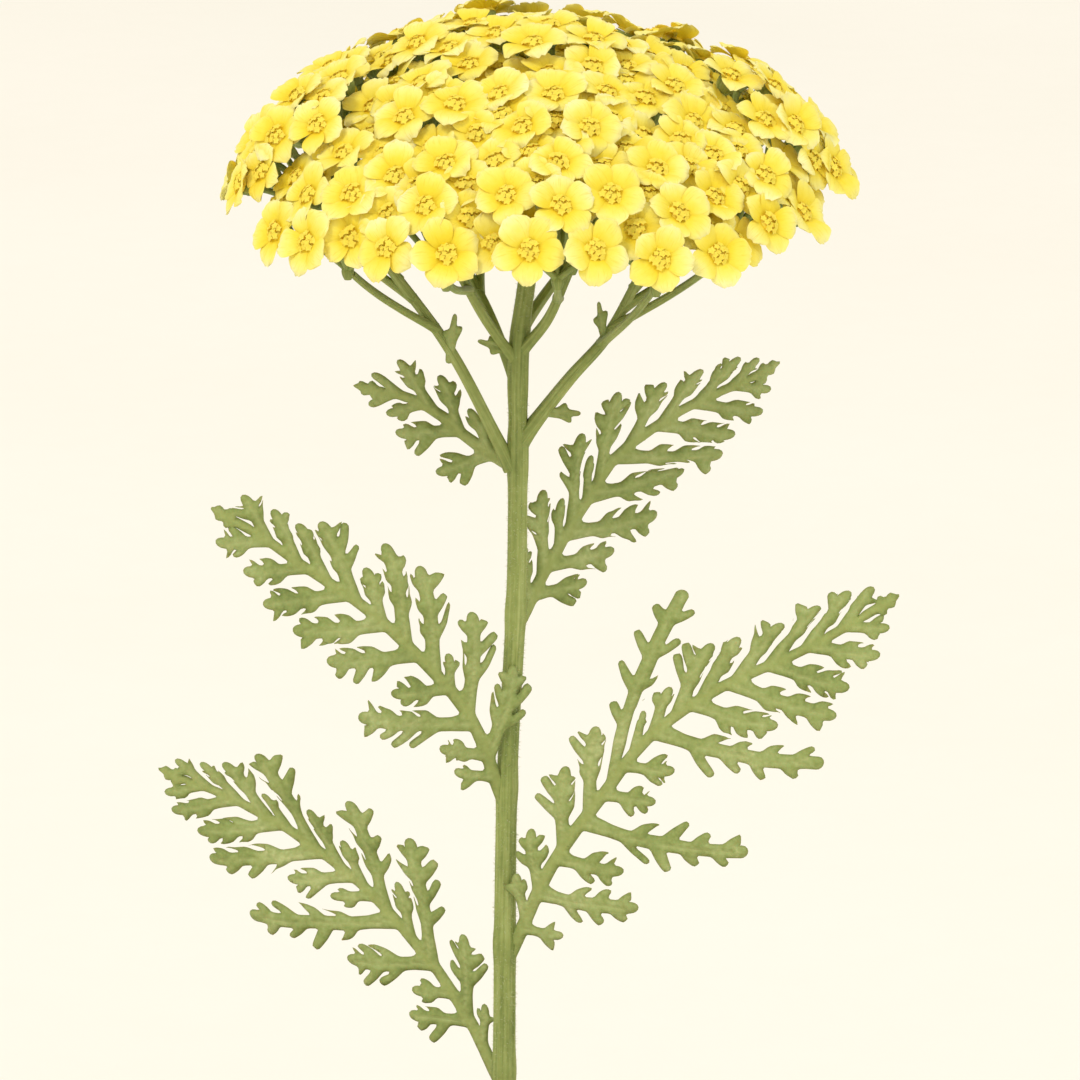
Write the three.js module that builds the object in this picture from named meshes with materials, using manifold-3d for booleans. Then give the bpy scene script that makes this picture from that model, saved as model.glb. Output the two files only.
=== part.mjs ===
// A compact yellow yarrow growing in a plain clay pot. Millimetres, +Z up, the plant's front faces -Y.
// The origin is the middle of the pot's flat base.

import * as THREE from 'three';
import { mergeVertices } from 'three/addons/utils/BufferGeometryUtils.js';
import Module from 'manifold-3d';

const wasm = await Module();
wasm.setup();

// Pot
const POT_HEIGHT = 105;
const POT_BASE_RADIUS = 42;
const POT_SHOULDER_RADIUS = 53;
const RIM_RADIUS = 60;
const RIM_DEPTH = 24;
const POT_WALL = 5;
const POT_FLOOR = 7;
const POT_FACETS = 32;
const RIM_TAPER = 2.6;
const RIM_WALL = 5.8;
const LIP_ROUND = 2;
const DRAIN_RADIUS = 4.5;
const DRAIN_RING = 20;
const DRAIN_COUNT = 3;

// Soil
const SOIL_LEVEL = 96;
const SOIL_RELIEF = 1.1;
const SOIL_FACETS = 22;
const SOIL_RINGS = 4;

// Every separate piece keeps this clear of the piece that carries it.
const SEAT_GAP = 0.3;

// Stem
const ROOT_DEPTH = 54;
const ROOT_SHARE = 0.2;
const ROOT_END_RADIUS = 1.3;
const STEM_RADIUS_LOW = 2.0;
const STEM_RADIUS_HIGH = 1.3;
const STEM_PATH = [
  [0, 0, SOIL_LEVEL - ROOT_DEPTH],
  [0, 0, SOIL_LEVEL],
  [0.5, 0, 136],
  [1.1, 0.4, 186],
  [2.6, 0.2, 216],
  [2.9, 0, 240],
  [3.1, 0, 258],
  [4.8, 0.5, 272],
  [7, 1, 292],
];

// Flower head: a dome of sprays round an upright axis.
const HEAD_AXIS = [7.2, 0];
const SPRAY_TILT = 48;
const OUTER_RING = 40;
const SPRAY_DOME_RADIUS = 26;
const SPRAY_REACH = 15;
const BLOOM_RADIUS = 5.5;
const BLOOM_SPACING = 8.2;
const BLOOM_CLEARANCE = 6.8;
const BLOOM_ROUNDS = 2;
const PETALS = 5;
const NOTCH_SHARE = 0.58;
const PETAL_HALF_ANGLE = 22;
const WAIST = 1.3;
const PETAL_CUP = 1.3;
const PETAL_TWIST = 0.3;
const PETAL_THICKNESS = 0.65;
const PETAL_GAP = 0.7;
const DISC_RADIUS = 1.5;
const DISC_HEIGHT = 1.3;
const DISC_LIFT = 0.35;
const DISC_SIDES = 4;
const CUP_RADIUS = 1.6;
const CUP_HEIGHT = 2.6;
const SIDE_BRANCH_RADIUS = [0.65, 0.55];
const HUB_DEPTH = 8;
const HUB_DROP = 7;
const PEDICEL_BEND = 7;
const PEDICEL_RADIUS = 0.55;
const PEDICEL_SIDES = 3;
const KNOB_RADIUS = 1.1;

// Each main branch leaves the stem at its first point.
const BRANCHES = {
  left: { radius: [1.05, 0.75], path: [[1.9, 0, 238], [-8, -2, 258], [-18, -6, 273]] },
  right: { radius: [1.15, 0.75], path: [[3, 0, 242], [11.2, -1, 253], [17, -2, 260], [22.5, -4, 271]] },
  front_left: { radius: [0.9, 0.7], path: [[3, 0, 255], [-1.6, -3, 262], [-6.4, -9, 272]] },
  front_right: { radius: [0.9, 0.7], path: [[3, 0, 256.5], [7.5, -4, 263], [11, -9, 272]] },
  back_left: { radius: [0.95, 0.7], path: [[3, 0, 251], [-2, 8, 262], [-8, 16, 272]] },
  back_right: { radius: [0.95, 0.7], path: [[3, 0, 260], [9, 8, 267], [16, 15, 274]] },
  leader: { radius: [STEM_RADIUS_HIGH, 1], path: STEM_PATH.slice(-3) },
};

// Each spray of flowers: the place of its middle bloom, and the branch that its stalk leaves, with
// how far along.
const SPRAYS = [
  { at: [8, 0, 308.5], branch: 'leader', along: 1 },
  { at: [8.5, -21, 301.5], branch: 'front_right', along: 1 },
  { at: [27, -11, 301], branch: 'right', along: 1 },
  { at: [24, 11.5, 303], branch: 'back_right', along: 1 },
  { at: [6.5, 21, 305.5], branch: 'back_right', along: 0.8 },
  { at: [-11, 11, 305.5], branch: 'back_left', along: 1 },
  { at: [-11.5, -10.5, 301.5], branch: 'left', along: 1 },
  { at: [9.4, -41, 288.5], branch: 'front_right', along: 0.7 },
  { at: [27, -36.5, 286.5], branch: 'right', along: 0.6 },
  { at: [40.5, -23, 289.5], branch: 'right', along: 0.7 },
  { at: [48.5, -3, 294], branch: 'right', along: 0.8 },
  { at: [44, 18, 295], branch: 'right', along: 0.9 },
  { at: [32.5, 33, 296], branch: 'back_right', along: 0.7 },
  { at: [15, 41, 297.5], branch: 'back_right', along: 0.6 },
  { at: [-4, 41, 299], branch: 'back_left', along: 0.62 },
  { at: [-20.5, 31, 297], branch: 'back_left', along: 0.85 },
  { at: [-32, 16, 294], branch: 'left', along: 0.9 },
  { at: [-37, -3, 292], branch: 'left', along: 0.8 },
  { at: [-28.5, -23, 286.5], branch: 'left', along: 0.65 },
  { at: [-10.5, -36.5, 287.5], branch: 'front_left', along: 0.8 },
];

// Leaves. A leaf's leaflets are listed from its base up, as place along the rib and length.
const LEAF_THICKNESS = 0.65;
const RIB_THICKNESS = 1.3;
const RIB_HALF_WIDTH = [1.15, 0.7];
const LEAFLET_HALF_WIDTH = { least: 0.7, most: 1.45, growth: 0.06 };
const LEAFLET_FOOT = 1.9;
const FOOT_SPREAD = 1.25;
const LEAFLET_CURVE = 0.12;
const LOBE_EVERY = 5.6;
const LOBE_WIDTH = 2.3;
const LOBE_TIP_WIDTH = 1.1;
const LOBE_FORWARD = 0.85;
const LOBE_OUTWARD = 0.68;
const LOBE_LENGTH = { least: 1.3, growth: 0.2, most: 4.6 };
const LOBED_STRETCH = [0.22, 0.88];
const STEM_LEAVES = [
  {
    name: 'leaf_1',
    path: [[2.2, 0.3, 238], [-5, 3, 242], [-9.6, 5, 245.5], [-15.2, 7, 248], [-22.4, 9, 249]],
    fold: 12,
    angles: { upper: [46, 34], lower: [62, 38] },
    upper: [[0.2, 5.9], [0.42, 7.5], [0.62, 7.5], [0.82, 3.6]],
    lower: [[0.185, 7.6], [0.418, 8.3], [0.67, 4.2], [0.845, 2.8]],
  },
  {
    name: 'leaf_2',
    path: [[2.7, 0.3, 211.5], [7.8, 4, 221], [13, 8, 229], [18.9, 12, 237], [28, 17, 242.5],
      [44.5, 22, 249.5]],
    fold: 14,
    angles: { upper: [46, 32], lower: [60, 36] },
    upper: [[0.09, 7.5], [0.18, 11.5], [0.26, 5.7], [0.33, 12.6], [0.4, 5.3], [0.47, 12.1], [0.59, 9.2],
      [0.7, 8.2], [0.81, 7.3], [0.9, 4.2]],
    lower: [[0.108, 6.9], [0.195, 9], [0.292, 13], [0.408, 13.8], [0.534, 15.1], [0.68, 10],
      [0.796, 8.1], [0.903, 3.9]],
  },
  {
    name: 'leaf_3',
    path: [[0.6, 0, 182], [-5, -4, 198], [-12.5, -8, 208.5], [-21, -12, 218], [-31, -15, 226],
      [-38, -18, 232], [-44, -20, 236]],
    fold: 14,
    angles: { upper: [45, 32], lower: [62, 36] },
    upper: [[0.14, 13.6], [0.26, 15], [0.33, 4.4], [0.39, 16.3], [0.49, 15.2], [0.57, 7.4], [0.65, 12.3],
      [0.73, 8.6], [0.81, 7.5], [0.89, 6.7]],
    lower: [[0.079, 5.6], [0.137, 6.9], [0.224, 17.5], [0.331, 7.8], [0.447, 12.9], [0.554, 12.7],
      [0.67, 11.1], [0.777, 8.1], [0.884, 6.4]],
  },
  {
    name: 'leaf_4',
    path: [[1.3, 0, 155.5], [8.6, -5, 173.5], [16, -9, 185.5], [23.6, -13, 197], [34, -17, 206],
      [48, -21, 214], [61.5, -24, 223]],
    fold: 14,
    angles: { upper: [40, 29], lower: [76, 36] },
    upper: [[0.1, 5.9], [0.165, 8.3], [0.26, 11.9], [0.345, 12.9], [0.42, 33, 20], [0.49, 5.1],
      [0.54, 6.2], [0.595, 11.5], [0.65, 10], [0.72, 10], [0.78, 10.8], [0.85, 9.5], [0.92, 6.2]],
    lower: [[0.069, 5.6], [0.146, 15.3], [0.224, 9.8], [0.311, 24.8], [0.379, 7.3], [0.447, 6.9],
      [0.534, 24.6], [0.622, 11.8], [0.699, 15.1], [0.777, 10.7], [0.855, 8.7], [0.922, 4.7]],
  },
  {
    name: 'leaf_5',
    path: [[0, 0.2, 133.5], [-5.6, 4, 144], [-12, 8, 152.5], [-22.4, 13, 163], [-34, 17, 171], [-44, 20, 176],
      [-56, 23, 180]],
    fold: 14,
    angles: { upper: [45, 32], lower: [66, 36] },
    upper: [[0.11, 4.8], [0.18, 11.5], [0.31, 19.2], [0.38, 7.5], [0.46, 17.1], [0.53, 6.2],
      [0.595, 8.6], [0.66, 16.1], [0.73, 5.1], [0.78, 9.4], [0.85, 6.8], [0.92, 5.1]],
    lower: [[0.156, 8.3], [0.224, 5.3], [0.302, 12.4], [0.418, 22.8], [0.491, 5.3], [0.554, 8.7],
      [0.641, 16.1], [0.748, 11.3], [0.855, 8.3], [0.932, 4.2]],
  },
];

// The rosette at soil level.
const BASAL_LEAVES = 5;
const BASAL_START = 25;
const BASAL_ARCH = [[2.7, 98.6], [16, 107.5], [34, 113], [54, 112], [71, 102]];
const BASAL_PAIRS = 4;
const BASAL_LEAFLET = 11;

// Small bracts on the branches: a foot on the green, a tip, and a half width.
const BRACTS = [
  { foot: [7, -0.6, 247.2], tip: [12.8, -2.6, 247.6], width: 0.9 },
  { foot: [-8, -2, 256], tip: [-7, -4.2, 264], width: 0.85 },
  { foot: [2.6, -0.6, 257], tip: [-3.4, -2, 259.2], width: 0.8 },
  { foot: [16.6, -2, 259], tip: [15.6, -4.4, 266], width: 0.7 },
];

const COLOURS = {
  pot: 0xb9693f,
  soil: 0x3b2c22,
  stem: 0x8c9a4e,
  stalks: 0x8f9d54,
  leaf: 0x86974c,
  bloom: 0xf6de3c,
};

const vector = ([x, y, z]) => new THREE.Vector3(x, y, z);
const curveThrough = (points) => new THREE.CatmullRomCurve3(points.map(vector), false, 'centripetal');
const radians = THREE.MathUtils.degToRad;
const mix = THREE.MathUtils.lerp;

// A repeatable draw between 0 and 1 for the item and the purpose.
function draw(item, purpose) {
  const value = Math.sin(item * 12.9898 + purpose * 78.233) * 43758.5453;
  return value - Math.floor(value);
}

function solid(geometry) {
  const bare = geometry.index ? geometry.toNonIndexed() : geometry.clone();
  bare.deleteAttribute('normal');
  bare.deleteAttribute('uv');
  const merged = mergeVertices(bare, 1e-4);
  return new wasm.Manifold(new wasm.Mesh({
    numProp: 3,
    vertProperties: merged.attributes.position.array,
    triVerts: new Uint32Array(merged.index.array),
  }));
}

function joined(solids) {
  return solids.reduce((whole, next) => whole.add(next));
}

// The largest body of a cut solid: what a cut leaves loose is dropped.
function largest(cut) {
  return cut.decompose().reduce((best, body) => (body.volume() > best.volume() ? body : best));
}

function geometryOf(made) {
  const { vertProperties, triVerts, numProp } = made.getMesh();
  const positions = new Float32Array((vertProperties.length / numProp) * 3);
  for (let i = 0; i < positions.length / 3; i += 1) {
    positions.set(vertProperties.subarray(i * numProp, i * numProp + 3), i * 3);
  }
  return new THREE.BufferGeometry()
    .setAttribute('position', new THREE.BufferAttribute(positions, 3))
    .setIndex(new THREE.BufferAttribute(new Uint32Array(triVerts), 1));
}

// Moves every vertex of a geometry to where the rule puts it.
function reshaped(geometry, rule) {
  const place = geometry.attributes.position;
  for (let i = 0; i < place.count; i += 1) {
    const to = rule(place.getX(i), place.getY(i), place.getZ(i));
    place.setXYZ(i, to.x, to.y, to.z);
  }
  return geometry;
}

// A closed stalk along a curve, with one radius for each row of its rings.
function stalk(curve, radii, sides) {
  const steps = radii.length - 1;
  const frames = curve.computeFrenetFrames(steps, false);
  const straight = new THREE.CylinderGeometry(1, 1, 1, sides, steps);
  return reshaped(straight, (x, y, z) => {
    const row = Math.round((y + 0.5) * steps);
    return curve.getPointAt(row / steps)
      .addScaledVector(frames.normals[row], x * radii[row])
      .addScaledVector(frames.binormals[row], -z * radii[row]);
  });
}

const evenly = (from, to, steps) => Array.from({ length: steps + 1 }, (_, i) => mix(from, to, i / steps));

// Pot and soil

function potInnerRadius(z) {
  const rimFoot = POT_HEIGHT - RIM_DEPTH;
  return mix(POT_BASE_RADIUS, POT_SHOULDER_RADIUS, z / rimFoot) - POT_WALL;
}

function makePot() {
  const rimFoot = POT_HEIGHT - RIM_DEPTH;
  const outline = [
    [0, 0], [POT_BASE_RADIUS - 1.5, 0], [POT_BASE_RADIUS, 1.5], [POT_SHOULDER_RADIUS, rimFoot - 0.5],
    [RIM_RADIUS - RIM_TAPER, rimFoot + 1], [RIM_RADIUS, POT_HEIGHT - LIP_ROUND],
    [RIM_RADIUS - 0.8 * LIP_ROUND, POT_HEIGHT], [RIM_RADIUS - RIM_WALL + 0.7 * LIP_ROUND, POT_HEIGHT],
    [RIM_RADIUS - RIM_WALL, POT_HEIGHT - LIP_ROUND], [potInnerRadius(rimFoot), rimFoot],
    [potInnerRadius(POT_FLOOR + 3), POT_FLOOR + 3], [potInnerRadius(POT_FLOOR) - 2.5, POT_FLOOR],
    [0, POT_FLOOR],
  ].map(([r, z]) => new THREE.Vector2(r, z));
  const turned = new THREE.LatheGeometry(outline, POT_FACETS).rotateX(Math.PI / 2);
  let pot = solid(turned);
  for (let i = 0; i < DRAIN_COUNT; i += 1) {
    const angle = (i / DRAIN_COUNT) * 2 * Math.PI + Math.PI / 2;
    const drill = new THREE.CylinderGeometry(DRAIN_RADIUS, DRAIN_RADIUS, 3 * POT_FLOOR, 10)
      .rotateX(Math.PI / 2)
      .translate(DRAIN_RING * Math.cos(angle), DRAIN_RING * Math.sin(angle), POT_FLOOR / 2);
    pot = pot.subtract(solid(drill));
  }
  return pot;
}

function soilHeight(x, y) {
  const coarse = Math.sin(x / 5.1 + 0.6) * Math.cos(y / 4.7 - 0.4);
  const fine = Math.sin(x / 2.4 + 1.1) * Math.sin(y / 2.9 + 0.3);
  return SOIL_LEVEL + SOIL_RELIEF * (coarse + 0.5 * fine);
}

function makeSoil() {
  const inside = (radius) => radius * Math.cos(Math.PI / POT_FACETS) - SEAT_GAP;
  const rimFoot = POT_HEIGHT - RIM_DEPTH;
  const topRadius = inside(innerRadiusAt(SOIL_LEVEL - 1.5 * SOIL_RELIEF));
  const floor = POT_FLOOR + SEAT_GAP;
  const outline = [[0, floor], [inside(potInnerRadius(floor)) - 3, floor],
    [inside(potInnerRadius(floor + 4)), floor + 4], [inside(potInnerRadius(rimFoot)), rimFoot - 1]];
  for (let ring = SOIL_RINGS; ring >= 0; ring -= 1) {
    outline.push([(topRadius * ring) / SOIL_RINGS, SOIL_LEVEL]);
  }
  const turned = new THREE.LatheGeometry(outline.map(([r, z]) => new THREE.Vector2(r, z)), SOIL_FACETS)
    .rotateX(Math.PI / 2);
  const lumpy = reshaped(turned, (x, y, z) => (
    new THREE.Vector3(x, y, z === SOIL_LEVEL ? soilHeight(x, y) : z)));
  const rootHole = new THREE.CylinderGeometry(
    STEM_RADIUS_LOW + SEAT_GAP + 0.1, STEM_RADIUS_LOW + SEAT_GAP + 0.1, ROOT_DEPTH + 12, 12)
    .rotateX(Math.PI / 2)
    .translate(0, 0, SOIL_LEVEL - ROOT_DEPTH - SEAT_GAP + (ROOT_DEPTH + 12) / 2);
  return solid(lumpy).subtract(solid(rootHole));
}

function innerRadiusAt(z) {
  const rimFoot = POT_HEIGHT - RIM_DEPTH;
  const share = (z - rimFoot) / (POT_HEIGHT - LIP_ROUND - rimFoot);
  return mix(potInnerRadius(rimFoot), RIM_RADIUS - RIM_WALL, share);
}

// Stem, branches and bracts

const branchCurves = Object.fromEntries(
  Object.entries(BRANCHES).map(([name, branch]) => [name, curveThrough(branch.path)]));

function bract({ foot, tip, width }) {
  const from = vector(foot);
  const along = vector(tip).sub(from);
  const length = along.length();
  const shape = new THREE.Shape([
    [0, -width * 0.6], [length * 0.45, -width], [length * 0.7, -width * 1.7], [length * 0.72, -width * 0.6],
    [length, -width * 0.5], [length, width * 0.4], [length * 0.62, width * 0.7], [length * 0.55, width * 1.8],
    [length * 0.4, width], [0, width * 0.6],
  ].map(([x, y]) => new THREE.Vector2(x, y)));
  const blade = new THREE.ExtrudeGeometry(shape, { depth: LEAF_THICKNESS, bevelEnabled: false })
    .translate(0, 0, -LEAF_THICKNESS / 2);
  along.normalize();
  const face = new THREE.Vector3(0, -1, 0.3).addScaledVector(along, along.y - 0.3 * along.z).normalize();
  const side = new THREE.Vector3().crossVectors(face, along);
  return solid(blade.applyMatrix4(new THREE.Matrix4().makeBasis(along, side, face).setPosition(from)));
}

// The main stem from its root end to the top with its branches, all made wider by a margin.
function stemAndBranches(margin) {
  const radii = evenly(0, 1, 9).map((t) => {
    if (t < ROOT_SHARE) return mix(ROOT_END_RADIUS, STEM_RADIUS_LOW, t / ROOT_SHARE) + margin;
    return mix(STEM_RADIUS_LOW, STEM_RADIUS_HIGH, (t - ROOT_SHARE) / (1 - ROOT_SHARE)) + margin;
  });
  const green = [solid(stalk(curveThrough(STEM_PATH), radii, 8))];
  for (const [name, { radius }] of Object.entries(BRANCHES)) {
    if (name !== 'leader') {
      green.push(solid(stalk(branchCurves[name], evenly(radius[0] + margin, radius[1] + margin, 3), 5)));
    }
  }
  const [thick, thin] = SIDE_BRANCH_RADIUS;
  SPRAYS.filter((spray) => spray.along < 1).forEach((spray) => {
    green.push(solid(stalk(sprayBranch(spray), evenly(thick + margin, thin + margin, 2), 4)));
  });
  return joined(green);
}

const makeStem = () => joined([stemAndBranches(0), ...BRACTS.map(bract)]);

// Sprays of flowers

const sprayMiddle = (spray) => vector(spray.at);

// The way a spray faces: square to a flattened dome.
function sprayNormal({ at: [x, y] }) {
  const out = new THREE.Vector2(x - HEAD_AXIS[0], y - HEAD_AXIS[1]);
  const tilt = radians(SPRAY_TILT * (out.length() / OUTER_RING) ** 1.2);
  out.normalize().multiplyScalar(Math.sin(tilt));
  return new THREE.Vector3(out.x, out.y, Math.cos(tilt));
}

// The knob that a spray's flower stalks rise from.
function sprayHub(spray) {
  if (spray.along === 1) {
    return branchCurves[spray.branch].getPointAt(1)
      .addScaledVector(branchCurves[spray.branch].getTangentAt(1), KNOB_RADIUS + SEAT_GAP);
  }
  const below = new THREE.Vector3(0, 0, -HUB_DROP);
  return sprayMiddle(spray).addScaledVector(sprayNormal(spray), -HUB_DEPTH).add(below);
}

// The side branch from a main branch to just under a spray's knob.
function sprayBranch(spray) {
  const from = branchCurves[spray.branch].getPointAt(spray.along);
  const to = sprayHub(spray);
  const middle = from.clone().lerp(to, 0.6).add(new THREE.Vector3(0, 0, -1.5));
  const whole = new THREE.QuadraticBezierCurve3(from, middle, to);
  const end = to.clone().addScaledVector(whole.getTangentAt(1), -(KNOB_RADIUS + SEAT_GAP));
  return new THREE.QuadraticBezierCurve3(from, middle, end);
}

// The axes of a spray: away from the head's middle, across, and the way it faces.
function sprayAxes(spray) {
  const normal = sprayNormal(spray);
  const outward = new THREE.Vector3(spray.at[0] - HEAD_AXIS[0], spray.at[1] - HEAD_AXIS[1], 0);
  outward.addScaledVector(normal, -outward.dot(normal)).normalize();
  return { outward, across: new THREE.Vector3().crossVectors(normal, outward), normal };
}

const polar = (angle, reach) => new THREE.Vector2(reach * Math.cos(angle), reach * Math.sin(angle));

// From a spray's flat plan to its place on the dome: the point and the way it faces there.
function onDome(spray, { x, y }) {
  const { outward, across, normal } = sprayAxes(spray);
  const place = sprayMiddle(spray)
    .addScaledVector(outward, x)
    .addScaledVector(across, y)
    .addScaledVector(normal, -(x * x + y * y) / (2 * SPRAY_DOME_RADIUS));
  const facing = normal.clone()
    .addScaledVector(outward, x / SPRAY_DOME_RADIUS)
    .addScaledVector(across, y / SPRAY_DOME_RADIUS)
    .normalize();
  return { place, facing };
}

// A bloom on a spray's flat plan: where it stands, the way its first petal turns, and the blooms
// that grow on from its petals.
function newBloom(spray, index, order, at, turn) {
  const radius = BLOOM_RADIUS * mix(0.94, 1, draw(index, order));
  return { at, turn, radius, ...onDome(spray, at), next: {} };
}

// Every spray's blooms. The middle one stands first, and the others grow on round by round, each
// from a petal of one that stands already, wherever there is room among all the sprays.
function growBlooms() {
  const plans = SPRAYS.map((spray, index) => (
    [newBloom(spray, index, 0, new THREE.Vector2(), Math.PI / PETALS)]));
  let newest = plans.map((plan) => [...plan]);
  for (let round = 0; round < BLOOM_ROUNDS; round += 1) {
    newest = newest.map((parents, index) => parents.flatMap((parent) => {
      const grown = [];
      for (let petal = round ? 1 : 0; petal < PETALS; petal += 1) {
        const angle = parent.turn + (petal * 2 * Math.PI) / PETALS;
        const order = plans[index].length;
        const at = polar(angle, BLOOM_SPACING * mix(0.97, 1.05, draw(index, order + 20))).add(parent.at);
        const bloom = newBloom(SPRAYS[index], index, order, at, angle + Math.PI);
        const clear = plans.flat().every(({ place }) => place.distanceTo(bloom.place) > BLOOM_CLEARANCE);
        if (clear && at.length() < SPRAY_REACH) {
          parent.next[petal] = bloom;
          plans[index].push(bloom);
          grown.push(bloom);
        }
      }
      return grown;
    }));
  }
  return plans;
}

const BLOOMS = growBlooms();

// A corner of a petal, drawn in until it stands clear of the half-way plane to every other bloom.
function petalCorner(spray, bloom, degrees, reach) {
  const angle = bloom.turn + radians(degrees);
  let length = reach * bloom.radius;
  const tooFar = () => {
    const { place } = onDome(spray, polar(angle, length).add(bloom.at));
    return BLOOMS.flat().some((other) => {
      if (other === bloom) return false;
      const toward = other.place.clone().sub(bloom.place);
      const half = toward.length() / 2;
      const ahead = toward.normalize().dot(place.clone().sub(bloom.place));
      return half < BLOOM_RADIUS && ahead > half - PETAL_GAP / 2;
    });
  };
  while (length > 1 && tooFar()) length -= 0.1;
  return polar(angle, length).add(bloom.at);
}

// One outline for a whole spray, anticlockwise: each bloom's petals in turn from the first one
// asked for, run together with the bloom that grows on from a petal where there is one.
function sprayOutline(spray, bloom, first) {
  const outline = [];
  for (let petal = first; petal < PETALS; petal += 1) {
    const turn = (petal * 360) / PETALS;
    const next = bloom.next[petal];
    outline.push(petalCorner(spray, bloom, turn - 180 / PETALS, NOTCH_SHARE));
    if (next) {
      const meet = bloom.at.clone().lerp(next.at, 0.5);
      const waist = polar(bloom.turn + radians(turn + 90), WAIST);
      outline.push(meet.clone().sub(waist), ...sprayOutline(spray, next, 1), meet.clone().add(waist));
    } else {
      outline.push(petalCorner(spray, bloom, turn - PETAL_HALF_ANGLE, 1),
        petalCorner(spray, bloom, turn + PETAL_HALF_ANGLE, 1));
    }
  }
  if (first > 0) outline.push(petalCorner(spray, bloom, -180 / PETALS, NOTCH_SHARE));
  return outline;
}

// The blooms of a spray: one blade cut to the spray's outline and domed, each bloom's petals cupped
// and tilted like a pinwheel, with a raised disc on each.
function makeBlooms(spray, index) {
  const blooms = BLOOMS[index];
  const flat = new THREE.ExtrudeGeometry(
    new THREE.Shape(sprayOutline(spray, blooms[0], 0)), { depth: PETAL_THICKNESS, bevelEnabled: false });
  const blade = reshaped(flat, (x, y, z) => {
    const here = new THREE.Vector2(x, y);
    const apart = (bloom) => bloom.at.distanceTo(here);
    const own = blooms.reduce((best, bloom) => (apart(bloom) < apart(best) ? bloom : best));
    const share = apart(own) / own.radius;
    const turn = Math.atan2(y - own.at.y, x - own.at.x) - own.turn;
    const lift = PETAL_CUP * share * (1 - 0.6 * share) + PETAL_TWIST * share * Math.sin(PETALS * turn);
    const { place, facing } = onDome(spray, here);
    return place.addScaledVector(facing, z + lift);
  });
  const discs = blooms.map(({ place, facing }) => {
    const disc = new THREE.ConeGeometry(DISC_RADIUS, DISC_HEIGHT, DISC_SIDES)
      .translate(0, DISC_HEIGHT / 2 + DISC_LIFT, 0)
      .applyQuaternion(new THREE.Quaternion().setFromUnitVectors(new THREE.Vector3(0, 1, 0), facing));
    return solid(disc.translate(place.x, place.y, place.z));
  });
  return joined([solid(blade), ...discs]);
}

const roomForStem = stemAndBranches(SEAT_GAP);

// The green of a spray: the knob, the flower stalks and the cup under each bloom.
function makeStalks(spray, index) {
  const hub = sprayHub(spray);
  const knob = new THREE.OctahedronGeometry(KNOB_RADIUS, 0).translate(hub.x, hub.y, hub.z);
  const green = BLOOMS[index].map(({ place, facing }) => {
    const cupTop = place.clone().addScaledVector(facing, -SEAT_GAP);
    const cupFoot = place.clone().addScaledVector(facing, -SEAT_GAP - CUP_HEIGHT);
    const bend = place.clone().addScaledVector(facing, -PEDICEL_BEND);
    return solid(pedicel(new THREE.QuadraticBezierCurve3(hub, bend, cupFoot), cupFoot, cupTop, facing));
  });
  return largest(joined([solid(knob), ...green]).subtract(roomForStem));
}

function pedicel(lower, cupFoot, cupTop, normal) {
  const rings = [
    { at: lower.getPoint(0), along: lower.getTangent(0), radius: PEDICEL_RADIUS },
    { at: cupFoot, along: normal, radius: PEDICEL_RADIUS },
    { at: cupTop, along: normal, radius: CUP_RADIUS },
  ];
  const steps = rings.length - 1;
  const straight = new THREE.CylinderGeometry(1, 1, 1, PEDICEL_SIDES, steps);
  const side = new THREE.Vector3(0, 1, 0).cross(rings[0].along);
  return reshaped(straight, (x, y, z) => {
    const { at, along, radius } = rings[Math.round((y + 0.5) * steps)];
    const across = side.clone().addScaledVector(along, -side.dot(along)).normalize();
    const third = new THREE.Vector3().crossVectors(across, along);
    return at.clone().addScaledVector(across, x * radius).addScaledVector(third, z * radius);
  });
}

// Leaves

// How far a lobe may reach from its leaflet's axis before it meets the next leaflet on that side.
function roomBeside(leaflets, index, step, along) {
  for (let i = index + step; i >= 0 && i < leaflets.length; i += step) {
    const gap = Math.abs(leaflets[i].root - leaflets[index].root) * Math.sin(leaflets[index].angle);
    if (leaflets[i].length > along - 1.5) return gap / 2 - 0.3;
  }
  return Infinity;
}

// The outline of one leaflet in its own axes: along it, and ahead towards the leaf's tip.
function leafletPoints(leaflets, index) {
  const { length, half } = leaflets[index];
  const lobes = Math.min(3, Math.floor(length / LOBE_EVERY));
  const edge = (step) => {
    const points = [];
    for (let k = 0; k < lobes; k += 1) {
      const heel = length * mix(...LOBED_STRETCH, (k + (step < 0 ? 0.1 : 0.4)) / lobes);
      const usual = Math.min(LOBE_LENGTH.most, LOBE_LENGTH.least + LOBE_LENGTH.growth * length);
      const finger = usual * mix(0.85, 1.15, draw(index + 3 * k, step + 5));
      const tip = heel + LOBE_FORWARD * finger;
      const reach = Math.min(half + LOBE_OUTWARD * finger, roomBeside(leaflets, index, step, tip));
      const toe = heel + Math.min(LOBE_WIDTH, (0.6 * length) / lobes);
      if (reach < half + 0.6 || toe > length - 0.8) continue;
      points.push([heel, step * half], [tip - 0.6 * LOBE_TIP_WIDTH, step * reach],
        [tip + 0.4 * LOBE_TIP_WIDTH, step * (reach - 0.8 * LOBE_TIP_WIDTH)], [toe, step * half]);
    }
    return points;
  };
  const tip = [[length - 0.5, -0.75 * half], [length + 0.3, 0.4 * half]];
  const points = [...edge(-1), ...tip, ...edge(1).reverse()];
  return points.map(([along, ahead]) => [along, ahead + (LEAFLET_CURVE * along ** 2) / length]);
}

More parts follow.
